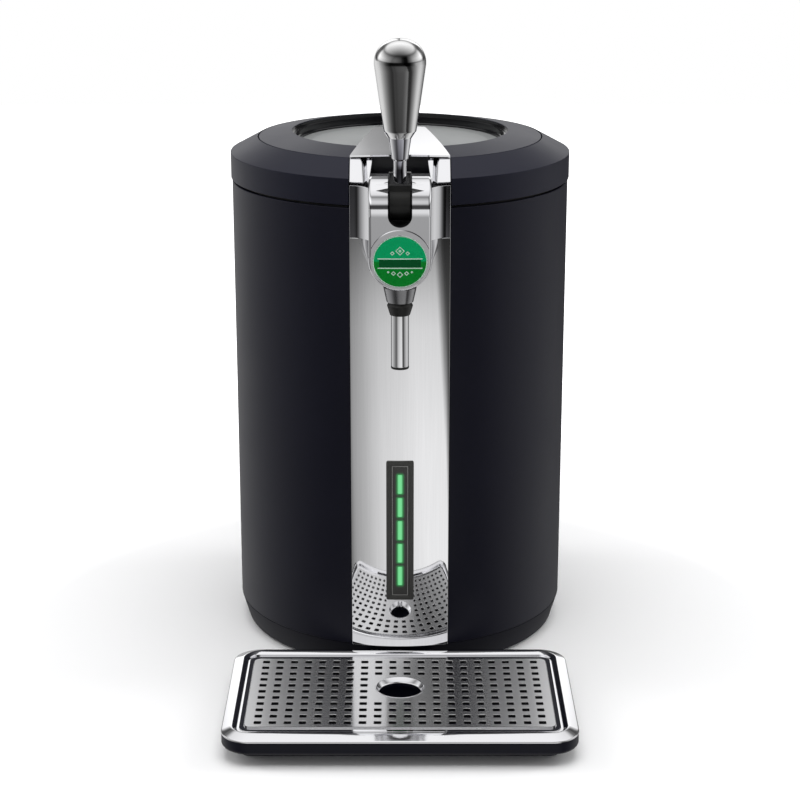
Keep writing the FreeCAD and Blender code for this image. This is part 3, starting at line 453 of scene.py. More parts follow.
def makeCamera():
    camera = bpy.data.cameras.new("camera")
    camera.lens = studio["lens"]
    camera.sensor_width = 36.0
    camera.clip_start = 0.01
    piece = bpy.data.objects.new("camera", camera)
    piece.location = studio["cameraPlace"]
    piece.rotation_euler = [radians(a) for a in studio["cameraTurn"]]
    scene.collection.objects.link(piece)
    scene.camera = piece


def rampOf(angle, stops):
    # a grey level by an angle, from stops in degrees that span its whole range
    low, high = stops[0][0], stops[-1][0]
    grey = added("ValToRGB", {"Fac": rangeOf(angle, 0.0, 1.0, low, high)})["Color"]
    elements = grey.node.color_ramp.elements
    for degree, level in stops[1:-1]:
        elements.new((degree - low) / (high - low))
    for element, (degree, level) in zip(elements, stops):
        element.color = (level, level, level, 1.0)
    return grey


def makeWorld():
    # even fill for the surfaces, white behind, and softboxes and flags that only gloss shows
    world = bpy.data.worlds.new("studio")
    scene.world = world
    world.use_nodes = True
    tree = world.node_tree
    x, y, z = axesOf(added("TexCoord", {}, tree)["Generated"])
    rise = calc("MULTIPLY", calc("ARCSINE", z), 180.0 / pi)
    side = calc("MULTIPLY", calc("ARCTAN2", x, calc("MULTIPLY", y, -1.0)), 180.0 / pi)
    slant = calc("MULTIPLY", rangeOf(rise, -12.0, 12.0, -30.0, -6.0), rangeOf(side, 0.8, 1.5, -10.0, 10.0))
    sideways = calc("MULTIPLY", rangeOf(calc("ABSOLUTE", side), 0.0, 1.0, 45.0, 75.0),
                    rangeOf(rise, 1.0, 0.0, -2.0, 4.0))
    lift = blendColours(sideways, rampOf(rise, studio["rises"]), (0.85,) * 3)
    swing = blendColours(rangeOf(rise, 0.0, 1.0, -2.0, 4.0),
                         rampOf(calc("ADD", side, slant), studio["below"]), rampOf(side, studio["above"]))
    swing = blendColours(rangeOf(rise, 0.0, 1.0, 32.0, 44.0), swing, (1.0,) * 3)
    path = added("LightPath", {}, tree)
    gloss = calc("MAXIMUM", path["Is Glossy Ray"], path["Is Transmission Ray"])
    fill = blendColours(gloss, (studio["fill"],) * 3, blendColours(1.0, lift, swing, "MULTIPLY"))
    white = blendColours(path["Is Camera Ray"], fill, (studio["background"],) * 3)
    feed(tree.nodes["Background"], "Color", white)


def makeFloor():
    bm = bmesh.new()
    bmesh.ops.create_grid(bm, x_segments=1, y_segments=1, size=studio["floorSize"] / 2)
    floor = placed(bm, "floor")
    material, shader = startMaterial("paleFloor", studio["floorColour"], 0.6, gloss=0.0)
    tree = shader.id_data
    reach = added("VectorMath", {0: objectCoords(shader)}, operation="LENGTH")["Value"]
    far = rangeOf(reach, studio["nearGlow"], 1.0, *studio["glowReach"])
    seen = added("LightPath", {}, tree)["Is Camera Ray"]
    glow = added("Emission", {"Strength": calc("MULTIPLY", seen, far)})[0]
    both = added("AddShader", {0: shader.outputs[0], 1: glow})[0]
    feed(tree.nodes["Material Output"], "Surface", both)
    floor.data.materials.append(material)
    floor.visible_glossy = False


def makeLights():
    for name, (place, size, energy) in studio["lights"].items():
        light = bpy.data.lights.new(name, "AREA")
        light.shape = "RECTANGLE"
        light.size, light.size_y = size
        light.energy = energy
        piece = bpy.data.objects.new(name, light)
        piece.location = place
        piece.rotation_euler = (Vector(studio["aim"]) - Vector(place)).to_track_quat("-Z", "Y").to_euler()
        piece.visible_glossy = False
        scene.collection.objects.link(piece)


scene.view_settings.view_transform = "Standard"
makeCamera()
makeWorld()
makeFloor()
makeLights()
print("studio set")


# ---- drum casing ----

shellLow, shellHigh = nodeBox("outer_shell")
stripLow, stripHigh = nodeBox("front_strip")
ventLow, ventHigh = nodeBox("vent_panel")
casing = {
    "radius": shellHigh.y,
    "low": shellLow.z,
    "high": shellHigh.z - 0.7,
    "wall": 3.0,
    "stripHalf": stripHigh.x,
    "stripRadius": -stripLow.y,
    "stripTop": stripHigh.z,
    "stripWall": 2.0,
    "ventHalf": ventHigh.x + 0.1,
    "ventLow": ventLow.z - 0.1,
    "ventHigh": ventHigh.z + 0.1,
    "edge": 0.8,
    "panTaper": 6.0,
    "panWall": 3.0,
}


def makeCasing():
    # one side swept from the strip to the vent panel and on to the back, mirrored, then given its wall
    r, half, low, high = casing["radius"], casing["ventHalf"], casing["ventLow"], casing["ventHigh"]
    angles = (asin(casing["stripHalf"] / r), pi - asin(half / r), pi)
    bm = sweptWall(r, angles, (84, 12), (casing["low"], low, high, casing["high"]))
    removeFaces(bm, lambda p: p.y > 0 and abs(p.x) < half and low < p.z < high)
    mirrorX(bm)
    thicken(bm, casing["wall"], Vector((1, 0, 0)))
    soften(bm, casing["edge"], 3, 50.0)
    finishPiece(bm, "casing", "root", "shell_plastic", ["outer_shell"])


def makeBasePan():
    low, high = nodeBox("base_pan")
    floorTop, taper, wall = low.z, casing["panTaper"], casing["panWall"]
    r = high.x
    outline = [(0, floorTop), (r - taper, floorTop), (r, casing["low"]), (r - wall, casing["low"]),
               (r - wall, high.z), (r - 2 * wall + 1, high.z), (r - 2 * wall + 1, casing["low"]),
               (r - taper - wall, floorTop + wall), (0, floorTop + wall)]
    bm = turned(outline, closed=False, steps=180)
    soften(bm, 1.0, 3, 12.0, lambda p: p.z < casing["low"] - 2 and p.xy.length > r - taper - 1)
    finishPiece(bm, "basePan", "root", "shell_plastic", ["base_pan"], finishes["pan_plastic_painted_shade"], even=False)


makeCasing()
makeBasePan()
print("casing made")


# ---- front strip and display ----

displayLow, displayHigh = nodeBox("display_bezel")


def bandPanel(radius, wall, xStops, zStops, hole=None, steps=1.0):
    # a curved panel on the drum's front, cut into columns and rows, with one window if asked
    angles = [asin(x / radius) for x in xStops]
    counts = [max(1, round(degrees(after - before) / steps)) for before, after in zip(angles, angles[1:])]
    bm = sweptWall(radius, angles, counts, zStops)
    if hole:
        x, low, high = hole
        removeFaces(bm, lambda p: abs(p.x) < x and low < p.z < high)
    thicken(bm, wall, Vector((0, -1, 0)))
    return bm


def makeStrip():
    half, top = casing["stripHalf"], casing["stripTop"]
    window = displayHigh.x - 0.8
    low, high = displayLow.z + 0.8, displayHigh.z - 0.8
    bm = bandPanel(casing["stripRadius"], casing["stripWall"], (-half, -window, window, half),
                   (casing["low"], low, high, top), hole=(window, low, high))
    soften(bm, 0.35, 3, 50.0)
    finishPiece(bm, "strip", "root", "steel", ["front_strip"])


makeStrip()
print("front strip made")


# ---- lid rings, well and window ----

lidLowMm, lidHighMm = nodeBox("lid_outer_ring")
ringLow, ringHigh = nodeBox("lid_inner_ring")
windowLow, windowHigh = nodeBox("lid_window")
tongueHigh = nodeBox("lid_tongue")[1]
yokeHigh = nodeBox("lid_yoke")[1]
lid = {
    "side": 399.5,
    "wall": 3.0,
    "notch": tongueHigh.x + 0.6,
    "seamGap": 0.5,
    "seam": 0.45,
    "edges": (0.9, 0.6, 0.45),
    "step": 3.0,
    "tongueSlope": (18.0, 116.2),
    "tongueFront": -110.0,
    "tongueLength": 116.0,
    "tongueHeights": (413.4, 417.0),
    "tongueHalves": (tongueHigh.x, 20.0),
    "tongueWall": 1.3,
    "tongueCorner": 4.0,
    "ridge": 0.7,
    "hornHeights": (395.9, 397.2, 411.7),
    "hornReach": 136.9,
    "hornDepth": 6.0,
    "hornRim": 1.2,
    "hornTopY": 108.6,
    "hornBack": -97.0,
    "yokeSide": [(-100.4, 398.0), (-100.4, 411.4), (-88.0, 412.0), (-88.0, 398.0)],
    "tickCount": 300.0,
}


def notched(bm, point, normal):
    # cuts the front of a ring back to a plane on each side, and closes the cuts
    for side in (1, -1):
        plane = Vector((side * point[0], point[1], 0))
        away = Vector((side * normal[0], normal[1], 0))
        near = [f for f in bm.faces if f.calc_center_median().y < 0 and side * f.calc_center_median().x > 0]
        geom = near + list({e for f in near for e in f.edges}) + list({v for f in near for v in f.verts})
        bmesh.ops.bisect_plane(bm, geom=geom, dist=0.001, plane_co=plane, plane_no=away)
    right, out = Vector(point), Vector(normal)
    removeFaces(bm, lambda p: p.y < 0 and (Vector((abs(p.x), p.y)) - right).dot(out) < 0)
    closeHoles(bm)


def ringPiece(name, outline, slotName, stands, point, normal, width, angle=20.0):
    bm = turned(outline, steps=192)
    notched(bm, point, normal)
    outward(bm)
    soften(bm, width, 3, angle)
    finishPiece(bm, name, "lid", slotName, stands)


def makeLid():
    r, low, ringZ = lidHighMm.x, lidLowMm.z + lid["seamGap"], lidHighMm.z
    seam = ringHigh.x + lid["seam"]
    side, wall, step = lid["side"], lid["wall"], lid["step"]
    outerEdge, rimEdge, wellEdge = lid["edges"]
    outer = [(r, low), (r, side), (seam, ringZ), (seam, ringZ - wall), (r - wall, side - wall),
             (r - wall, low)]
    ringPiece("lidOuter", outer, "lid_plastic", ["lid_outer_ring"], (lid["notch"], 0), (1, 0), outerEdge)
    well, top = windowHigh.x + 2 * step, ringHigh.z
    inner = [(ringHigh.x - 0.4, ringZ), (well, top), (well, top - step), (well + 6, top - 6),
             (ringHigh.x, ringZ - wall)]
    slope = Vector(lid["tongueSlope"]).normalized()
    cut = ((tongueHigh.x + 0.1, -ringHigh.x + 4.4), (slope.y, slope.x))
    ringPiece("lidRim", inner, "lid_plastic", ["lid_inner_ring"], *cut, rimEdge)
    glass, glassZ = windowHigh.x, windowHigh.z
    steps = [(well + 0.9, top - 0.75), (well, top - 0.6), (well - 0.02, top - step),
             (well - step, top - step - 0.3), (well - step - 0.3, glassZ + 2.2), (glass + 0.4, glassZ + 1.6),
             (glass, glassZ + 0.1), (glass, ringLow.z), (well + 2, ringLow.z), (well + 0.9, top - 4)]
    ringPiece("lidWell", steps, "gloss_black", ["lid_inner_ring"], *cut, wellEdge, angle=30.0)


def tickedWindow():
    # satin pane with a row of fine radial marks round its edge
    material, shader = startMaterial("tickedWindow", (0.235, 0.24, 0.24), 0.5, gloss=0.15)
    place = objectCoords(shader, offset=tuple(-drumAxis))
    spin = added("TexGradient", {"Vector": place}, gradient_type="RADIAL")["Fac"]
    teeth = calc("PINGPONG", calc("MULTIPLY", spin, lid["tickCount"]), 0.5)
    x, y, _ = axesOf(place)
    edge = rangeOf(lengthOf(x, y), 0.0, 1.0, windowHigh.x * 0.00087, windowHigh.x * 0.00089)
    marks = calc("MULTIPLY", rangeOf(teeth, 0.0, 1.0, 0.2, 0.35), edge)
    drift = noiseOf(place, 30.0)
    base = blendColours(drift, (0.225, 0.232, 0.232), (0.25, 0.257, 0.257))
    feed(shader, "Base Color", blendColours(marks, base, (0.15, 0.155, 0.155)))
    bumpInto(shader, marks, 0.3, 0.0002)
    return material


def makeWindow():
    r, low, high = windowHigh.x, windowLow.z, windowHigh.z
    bm = turned([(0, low), (r, low), (r, high - 0.5), (r - 0.15, high - 0.15), (r - 0.5, high), (0, high)],
                closed=False, steps=192)
    finishPiece(bm, "lidWindow", "lid", "window_grey", ["lid_window"], tickedWindow(), even=False)


def makeTongue():
    # a thin ridged plate that widens and rises towards the back, its far corners rounded off
    front, end, corner = lid["tongueFront"], yokeHigh.y, lid["tongueCorner"]
    (nearZ, farZ), (near, far) = lid["tongueHeights"], lid["tongueHalves"]
    stops = {i / 30 for i in range(30)}
    stops |= {1 - corner / lid["tongueLength"] * (1 - sin(radians(a))) for a in range(0, 91, 9)}
    stops = sorted(stops)
    bm = bmesh.new()
    bmesh.ops.create_grid(bm, x_segments=12, y_segments=len(stops) - 1, size=1.0)
    ordered = sorted({round(v.co.y, 5) for v in bm.verts})
    for vert in bm.verts:
        share, across = stops[ordered.index(round(vert.co.y, 5))], vert.co.x
        y = front + (end - front) * share
        z = nearZ + (farZ - nearZ) * (1 - (1 - share) ** 3) + lid["ridge"] * (1 - abs(across))
        half, past = near + (far - near) * share, y - (end - corner)
        if past > 0:
            half -= corner - sqrt(max(corner ** 2 - past ** 2, 0.0))
        vert.co = (across * half, y, z)
    thicken(bm, lid["tongueWall"], Vector((0, 0, 1)))
    soften(bm, 0.4, 4, 60.0)
    finishPiece(bm, "tongue", "lid", "chrome", ["lid_tongue"], crease=12.0)


def hornSection(z):
    # plan view of the right horn at a height: front, scooped inner side, back
    low, slopeLow, top = lid["hornHeights"]
    t = max(0.0, (z - slopeLow) / (top - slopeLow))
    reach = lid["hornReach"] - {low: 2.4, low + 0.4: 0.8}.get(z, 0.0)
    outX, frontX, hollowX, inX = tongueHigh.x, 28.7 + 1.8 * t, 24.4 + 1.1 * t, 23.2 - 2.6 * t
    points = []
    for i in range(8):
        x = outX - (outX - frontX) * i / 7
        points.append((x, -sqrt(reach ** 2 - x ** 2) * (1 - t) - lid["hornTopY"] * t))
    frontY = points[-1][1]
    fall = (hollowX - frontX) * 0.82
    points += [(frontX + fall * i / 12, frontY + lid["hornDepth"] * (1 - cos(radians(90.0 * i / 12))))
               for i in range(1, 13)]
    rimY = frontY + lid["hornRim"]
    return points + [(hollowX, rimY), (hollowX * 0.6 + inX * 0.4, rimY - 0.3), (inX + 0.5, rimY),
                     (inX, rimY + 0.5), (inX, lid["hornBack"]), (outX, lid["hornBack"])]


def makeHorns():
    # each side of the fork: a bright sloped front, a scooped inner cheek, a rounded lower lip
    low, slopeLow, top = lid["hornHeights"]
    heights = [low, low + 0.4, slopeLow] + [slopeLow + (top - slopeLow) * i / 8 for i in range(1, 9)]
    for flip, label in ((1, "Right"), (-1, "Left")):
        bm = stackSections([(z, hornSection(z)) for z in heights], flip)
        soften(bm, 1.0, 4, 38.0, lambda p: p.y < -108.0)
        finishPiece(bm, "horn" + label, "lid", "chrome", ["lid_tongue"], crease=30.0)


def makeYoke():
    # dark web between the horns, running under the tongue
    half = tongueHigh.x - 1.2
    bm = prism([(-half, *point) for point in lid["yokeSide"]], (2 * half, 0, 0))
    soften(bm, 0.5, 2)
    finishPiece(bm, "yoke", "lid", "gloss_black", ["lid_yoke"], finishes["navy_satin"], even=False)


makeLid()
makeWindow()
makeTongue()
makeHorns()
makeYoke()
print("lid made")


# ---- tap head ----

headHigh = nodeBox("tap_head")[1]
tap = {
    "half": headHigh.x - 1.1,
    "axisY": -178.0,
    "axisZ": 390.0,
    "drum": 19.8,
    "neckTop": 396.0,
    "neckBack": -122.0,
    "faceTop": 380.0,
    "faceTilt": 8.0,
    "faceFront": -195.4,
    "drumEnd": 181.5,
    "ledge": (-196.5, 389.35),
    "flatFrom": 383.0,
    "sideRound": 2.4,
    "roundFrom": (-150.0, -162.0),
    "roundAbove": 352.0,
    "slotHalf": 8.8,
    "slotLow": 375.5,
    "slotReach": (-215.0, 57.0),
    "disc": 23.3,
    "discDeep": -28.0,
    "discRound": 1.9,
    "badge": 20.0,
    "ringOuter": 22.8,
    "ringRise": 1.7,
    "ringTrim": 20.9,
    "discZ": 349.6,
    "notch": 2.3,
    "notchFrom": 8.0,
    "notchTip": 17.6,
    "notchZ": 402.3,
}
tap["discY"] = tap["faceFront"] + (tap["faceTop"] - tap["discZ"]) * tan(radians(tap["faceTilt"]))
faceOut = Vector((0, -cos(radians(tap["faceTilt"])), -sin(radians(tap["faceTilt"]))))
discCentre = Vector((0, tap["discY"], tap["discZ"]))


def combined(base, steps):
    # joins or cuts closed solids one after another and gives back the result
    outward(base)
    piece = placed(base, "working")
    helpers = []
    for operation, bm in steps:
        outward(bm)
        helper = placed(bm, "helper")
        helpers.append(helper)
        boolean = piece.modifiers.new("boolean", "BOOLEAN")
        boolean.operation = operation
        boolean.solver = "EXACT"
        boolean.object = helper
    result = bmesh.new()
    result.from_mesh(piece.evaluated_get(bpy.context.evaluated_depsgraph_get()).to_mesh())
    for old in [piece, *helpers]:
        mesh = old.data
        bpy.data.objects.remove(old)
        bpy.data.meshes.remove(mesh)
    bmesh.ops.remove_doubles(result, verts=result.verts, dist=0.001)
    return result


def headProfile():
    # side view: neck, drum, a small ledge, then a slow curve into the flat face
    y, z, r = tap["axisY"], tap["axisZ"], tap["drum"]
    topAngle = degrees(asin((tap["neckTop"] - z) / r))
    lean = tan(radians(tap["faceTilt"]))
    flatY = tap["faceFront"] + (tap["faceTop"] - tap["flatFrom"]) * lean
    points = [(tap["neckBack"], tap["neckTop"])]
    points += arcPoints((y, z), r, topAngle, tap["drumEnd"], 56)
    start, end = Vector(tap["ledge"]), Vector((flatY, tap["flatFrom"]))
    rise = (start.y - end.y) / 2
    middle = end + Vector((-rise * lean, rise))
    for t in (i / 10 for i in range(11)):  # a quadratic curve that meets the flat face in line with it
        points.append(tuple((1 - t) ** 2 * start + 2 * t * (1 - t) * middle + t * t * end))
    low = tap["discZ"]
    bottomY = tap["faceFront"] + (tap["faceTop"] - low) * lean
    points += [(bottomY, low), (bottomY + 30.0, low), (tap["neckBack"], low + 0.4)]
    return points


def insetProfile(points, amount):
    # the side view drawn in by an even amount along its front
    moved = []
    first, full = tap["roundFrom"]
    for i, (y, z) in enumerate(points):
        back = Vector(points[i]) - Vector(points[i - 1])
        ahead = Vector(points[(i + 1) % len(points)]) - Vector(points[i])
        normals = [Vector((-d.y, d.x)).normalized() for d in (back, ahead)]
        half = (normals[0] + normals[1]).normalized()
        reach = min(1.6, 1 / max(half.dot(normals[0]), 0.2))
        share = min(1.0, max(0.0, (y - first) / (full - first))) if z > tap["roundAbove"] else 0.0
        shift = half * amount * reach * share
        moved.append((y + shift.x, z + shift.y))
    return moved


def headFinish(centre):
    # 1 for the walls of the slot and 2 for the two arrow notches, both painted dark as shade, 0 for the
    # plating
    x, y, z = abs(centre.x), centre.y, centre.z
    slotCentre = tap["slotLow"] + tap["slotHalf"]
    if abs(x - tap["slotHalf"]) < 0.03 and z > slotCentre:
        return 1
    if abs(hypot(x, z - slotCentre) - tap["slotHalf"]) < 0.12 and z <= slotCentre:
        return 1
    fromAxis = hypot(y - tap["axisY"], z - tap["axisZ"])
    inNotch = fromAxis < tap["drum"] - 0.12 and z > tap["notchZ"] - 4
    return 2 if inNotch and tap["slotHalf"] < x < tap["notchTip"] else 0


def makeHead():
    half, side, profile = tap["half"], tap["sideRound"], headProfile()
    stations = [(half - side + y, side - x) for x, y in arcPoints((0, 0), side, 0.0, 90.0, 7)]
    stations = [(-x, inset) for x, inset in reversed(stations)] + stations
    bm = cappedLoft([[(x, y, z) for y, z in insetProfile(profile, inset)] for x, inset in stations])
    r, soft, deep = tap["disc"], tap["discRound"], tap["discDeep"]
    rim = arcPoints((r - soft, 0.03 - soft), soft, 0.0, 90.0, 6)
    disc = turnedAbout([(0, deep), (r, deep), *rim, (0, 0.03)], discCentre, faceOut)
    width, (front, depth) = tap["slotHalf"], tap["slotReach"]
    slot = arcPoints((0, tap["slotLow"] + width), width, 180.0, 360.0, 24) + [(width, 420.0), (-width, 420.0)]
    slot = prism([(x, front, z) for x, z in slot], (0, depth, 0))
    notchY = tap["axisY"] - sqrt(tap["drum"] ** 2 - (tap["notchZ"] - tap["axisZ"]) ** 2)
    steps = [("UNION", disc), ("DIFFERENCE", slot)]
    notch, start = tap["notch"], tap["notchFrom"]
    arrow = [(0, -1.0), (notch, -1.0), (notch, 0.2), (0, tap["notchTip"] - start)]
    for side in (1, -1):
        place = Vector((side * start, notchY, tap["notchZ"]))
        steps.append(("DIFFERENCE", turnedAbout(arrow, place, Vector((side, 0, 0)), steps=32)))
    result = combined(bm, steps)
    for face in result.faces:
        face.material_index = headFinish(face.calc_center_median())
    finishPiece(result, "tapHead", "root", "chrome", ["tap_head"], crease=32.0,
                others=[finishes["painted_hollow_shade"], finishes["notch_painted_shade"]])


# In metres from the badge's centre: the band's height, half height and half width, the heights of
# the two rules, and each lozenge's place beside and above, and its size.
badgePrint = {
    "band": (-0.0012, 0.0030, 0.0152),
    "rules": (0.0024, -0.0048),
    "ruleHalf": 0.0163,
    "line": 0.0004,
    "lozenges": [(0.0, 0.0084, 0.0030), (0.0, 0.0084, 0.0008), (0.0056, 0.0066, 0.0012),
                 (0.0, -0.0098, 0.0020), (0.0048, -0.0088, 0.0014), (0.0086, -0.0078, 0.0006)],
}


def badgePaint():
    # two greens meeting on a soft line, a plain dark band, pale lozenges and a pale outline
    material, shader = startMaterial("badgePaint", (0.0, 0.3, 0.1), 0.32, gloss=0.06)
    x, _, up = axesOf(objectCoords(shader, offset=tuple(-(toFrame @ discCentre))))
    share = rangeOf(up, 0.0, 1.0, -0.0004, 0.0012)
    field = blendColours(share, (0.0, 0.205, 0.020), (0.0, 0.345, 0.118))
    middle, tall, wide = badgePrint["band"]
    band = calc("MULTIPLY", nearTo(up, middle, tall), nearTo(x, 0.0, wide))
    field = blendColours(band, field, (0.0, 0.075, 0.018))
    line, short = badgePrint["line"], nearTo(x, 0.0, badgePrint["ruleHalf"])
    marks = calc("GREATER_THAN", lengthOf(x, up), tap["badge"] * 0.00096)
    for height in badgePrint["rules"]:
        marks = calc("MAXIMUM", marks, calc("MULTIPLY", nearTo(up, height, line), short))
    for beside, height, size in badgePrint["lozenges"]:
        off = calc("ABSOLUTE", calc("SUBTRACT", calc("ABSOLUTE", x), beside))
        off = calc("ADD", off, calc("ABSOLUTE", calc("SUBTRACT", up, height)))
        marks = calc("MAXIMUM", marks, nearTo(off, size, line))
    feed(shader, "Base Color", blendColours(marks, field, (0.50, 0.68, 0.58)))
    return material


def makeBadge():
    # the ring stands a little high round the badge, and is trimmed at the head's sides
    inner, outer = tap["badge"], tap["ringOuter"]
    place = aimed(discCentre, faceOut)
    up = (place.inverted() @ Vector((0, 0, 1, 0))).xy.normalized()
    profile = [(0.0, inner, -0.4), (0.0, inner, 0.55), (0.1, inner + 0.2, 0.75), (0.9, outer - 0.3, 0.75),
               (1.0, outer - 0.05, 0.6), (1.0, outer, 0.4), (1.0, outer, -0.4)]
    loops = []
    for share, r, height in profile:
        circle = arcPoints(up * tap["ringRise"] * share, r, 0.0, 360.0, 128)[:-1]
        loops.append([(*point, height) for point in circle])
    bm = bmesh.new()
    loft(bm, loops, around=True)
    bm.transform(place)
    for side in (1, -1):
        geom = bm.verts[:] + bm.edges[:] + bm.faces[:]
        bmesh.ops.bisect_plane(bm, geom=geom, dist=0.001, plane_co=(side * tap["ringTrim"], 0, 0),
                               plane_no=(side, 0, 0), clear_outer=True)
    closeHoles(bm)
    finishPiece(bm, "badgeRing", "root", "chrome", ["badge_ring"], crease=18.0)
    dome = [(0, -0.3), (inner - 0.1, -0.3), (inner - 0.1, 0.5)]
    dome += [(inner - 0.3 - (inner - 0.3) * i / 10, 0.7 + 0.5 * (1 - (1 - i / 10) ** 2)) for i in range(11)]
    bm = turnedAbout(dome, discCentre, faceOut, steps=128)
    finishPiece(bm, "badgeFace", "root", "badge_green", ["badge_face"], badgePaint(), even=False)


makeHead()
makeBadge()
print("tap head made")


# ---- cheeks and flare behind the tap ----

flare = {
    "radius": casing["stripRadius"],
    "inner": headHigh.x - 0.9,
    "reach": 11.0,
    "foot": 330.0,
    "join": 354.6,
    "top": 394.6,
    "joinHalf": 31.0,
    "footReach": 2.0,
    "cornerRound": 1.0,
}


def flareSection(half, reach):
    # plan view of one side: from the strip's surface a hollow curve sweeps out to the head's side
    inner = flare["inner"]
    startY = -sqrt(flare["radius"] ** 2 - half ** 2)
    lead = min(2.2, (half - inner) * 0.2)
    span = half - inner - lead
    points = [(half, startY + 6.0), (half, startY)]
    points += [(half - lead - span * t, startY - lead * 0.25 - reach * t ** 2)
               for t in (i / 14 for i in range(1, 15))]
    return points + [(inner, startY + 6.0)]


def makeFlare():
    half, foot, join, top = casing["stripHalf"] - 0.2, flare["foot"], flare["join"], flare["top"]
    for flip, label in ((1, "Right"), (-1, "Left")):
        bm = stackSections([(z, flareSection(half, flare["reach"])) for z in (join + 0.1, top)], flip)
        soften(bm, flare["cornerRound"], 4, 50.0, lambda p: abs(p.x) > half - 0.5 or p.z > top - 0.5)
        finishPiece(bm, "cheek" + label, "root", "chrome", ["tap_surround"], finishes["cheek_chrome_painted_shade"],
                    crease=30.0)
        sections = []
        for t in (i / 20 for i in range(21)):
            ease = t * t * (3 - 2 * t)
            width = flare["inner"] + 0.35 + (flare["joinHalf"] - flare["inner"]) * ease
            reach = flare["footReach"] + (flare["reach"] - 3.0) * ease
            sections.append((foot + (join - 0.15 - foot) * t, flareSection(width, reach)))
        finishPiece(stackSections(sections, flip), "flare" + label, "root", "chrome", ["tap_backplate"],
                    crease=40.0)


makeFlare()
print("cheeks made")


# ---- spout ----

spout = {
    "y": -175.0,
    "pieces": {  # slot, node, finish and outline, by radius and height
        "nozzle": ("steel", "spout_nozzle", "satin_steel_painted_shade",
                   [(4.0, 327.0), (12.3, 327.0), (12.0, 325.0), (10.2, 316.8), (10.0, 316.1), (9.6, 315.8),
                    (4.0, 315.8)]),
        "collar": ("black_plastic", "spout_collar", "black_plastic",
                   [(4.0, 315.8), (8.2, 315.8), (9.6, 313.2), (9.5, 312.5), (7.5, 306.1), (7.1, 305.9),
                    (4.0, 305.9)]),
        "tube": ("steel", "spout_tube", "steel",
                 [(5.8, 306.0), (6.7, 306.0), (6.7, 266.9), (6.5, 266.5), (5.8, 266.5)]),
        "spoutTip": ("black_plastic", "spout_tip", "black_plastic",
                     [(5.0, 266.5), (6.6, 266.5), (6.75, 266.3), (6.75, 265.2), (6.5, 264.8), (5.2, 264.8),
                      (5.0, 265.0)]),
    },
}


def makeSpout():
    for name, (slotName, node, look, outline) in spout["pieces"].items():
        finishPiece(turned(outline, centre=(0.0, spout["y"])), name, "root", slotName, [node], finishes[look])


makeSpout()
print("spout made")


# ---- lever ----

lever = {
    "hub": 12.0,
    "hubHalf": 8.3,
    "hubEdge": 0.8,
    "blockDepth": 6.5,
    "blockFront": (404.6, 405.6),
    "blockTop": 412.2,
    "neck": [(0, 401.0), (5.0, 401.0), (5.0, 412.6), (4.8, 413.6), (4.7, 416.0), (4.8, 420.5), (5.0, 421.8),
             (5.5, 422.5), (6.0, 423.0), (6.2, 424.0), (8.3, 438.4), (8.3, 440.5), (0, 440.5)],
    "gripFoot": [(0, 438.1), (8.4, 438.1), (8.9, 438.4), (11.55, 442.6), (11.9, 443.3), (12.05, 444.2)],
    "gripWide": 18.7,
    "gripShoulder": 491.0,
    "dome": (492.2, 16.8),
}


def makeLever():
    y, z = tap["axisY"], tap["axisZ"]
    r, half, edge = lever["hub"], lever["hubHalf"], lever["hubEdge"]
    hub = [(0, -half), (r - edge, -half), (r, edge - half), (r, half - edge), (r - edge, half), (0, half)]
    hub = turnedAbout(hub, Vector((0, y, z)), Vector((1, 0, 0)))
    depth, top, (frontLow, frontHigh) = lever["blockDepth"], lever["blockTop"], lever["blockFront"]
    side = [(y - depth, z), (y - depth, frontLow), (y - depth + 1.2, frontHigh), (y + 3.4, top),
            (y + depth, top), (y + depth, z)]
    block = prism([(-half, *point) for point in side], (2 * half, 0, 0))
    soften(block, 0.7, 3, 30.0, lambda p: p.z > z + 9)
    body = combined(hub, [("UNION", block)])
    for face in body.faces:
        face.material_index = 1 if face.calc_center_median().z > 403.5 else 0
    finishPiece(body, "leverHub", "tap_lever", "black_plastic", ["lever_hub"],
                others=[finishes["gloss_black"]])
    finishPiece(turned(lever["neck"], closed=False, centre=(0, y)), "leverNeck", "tap_lever", "chrome",
                ["lever_neck"], finishes["neck_chrome_painted_shade"], crease=25.0)
    (near, low), wide, (domeZ, rise) = lever["gripFoot"][-1], lever["gripWide"], lever["dome"]
    grip = lever["gripFoot"] + [(near + (wide - near) * t, low + (lever["gripShoulder"] - low) * t)
                                for t in (i / 12 for i in range(1, 13))]
    grip += [(wide * cos(radians(a)) ** 0.92, domeZ + rise * sin(radians(a)))
             for a in (4, 8, 14, 20, 27, 34, 41, 48, 55, 62, 69, 75, 81, 86)] + [(0, domeZ + rise)]
    finishPiece(turned(grip, closed=False, centre=(0, y), steps=128), "leverGrip", "tap_lever",
                "dark_chrome", ["lever_grip"], crease=25.0)


makeLever()
print("lever made")


# ---- display ----

lampHigh = nodeBox("led_bars")[1]
paneHigh = nodeBox("display_window")[1]
display = {
    "lampPitch": 19.15,
    "lampHeight": 15.4,
    "lampHalf": 1.85,
    "lampCount": 5,
    "lampRound": 0.9,
    "cornerRound": 1.3,
    "lineHalf": 6.2,
    "lineWidth": 0.4,
    "lineInset": 4.0,
    "haloReach": 2.1,
    "proud": 138.2,
    "bezelWall": 2.4,
    "paneWall": 1.2,
    "paneGap": 0.05,
}


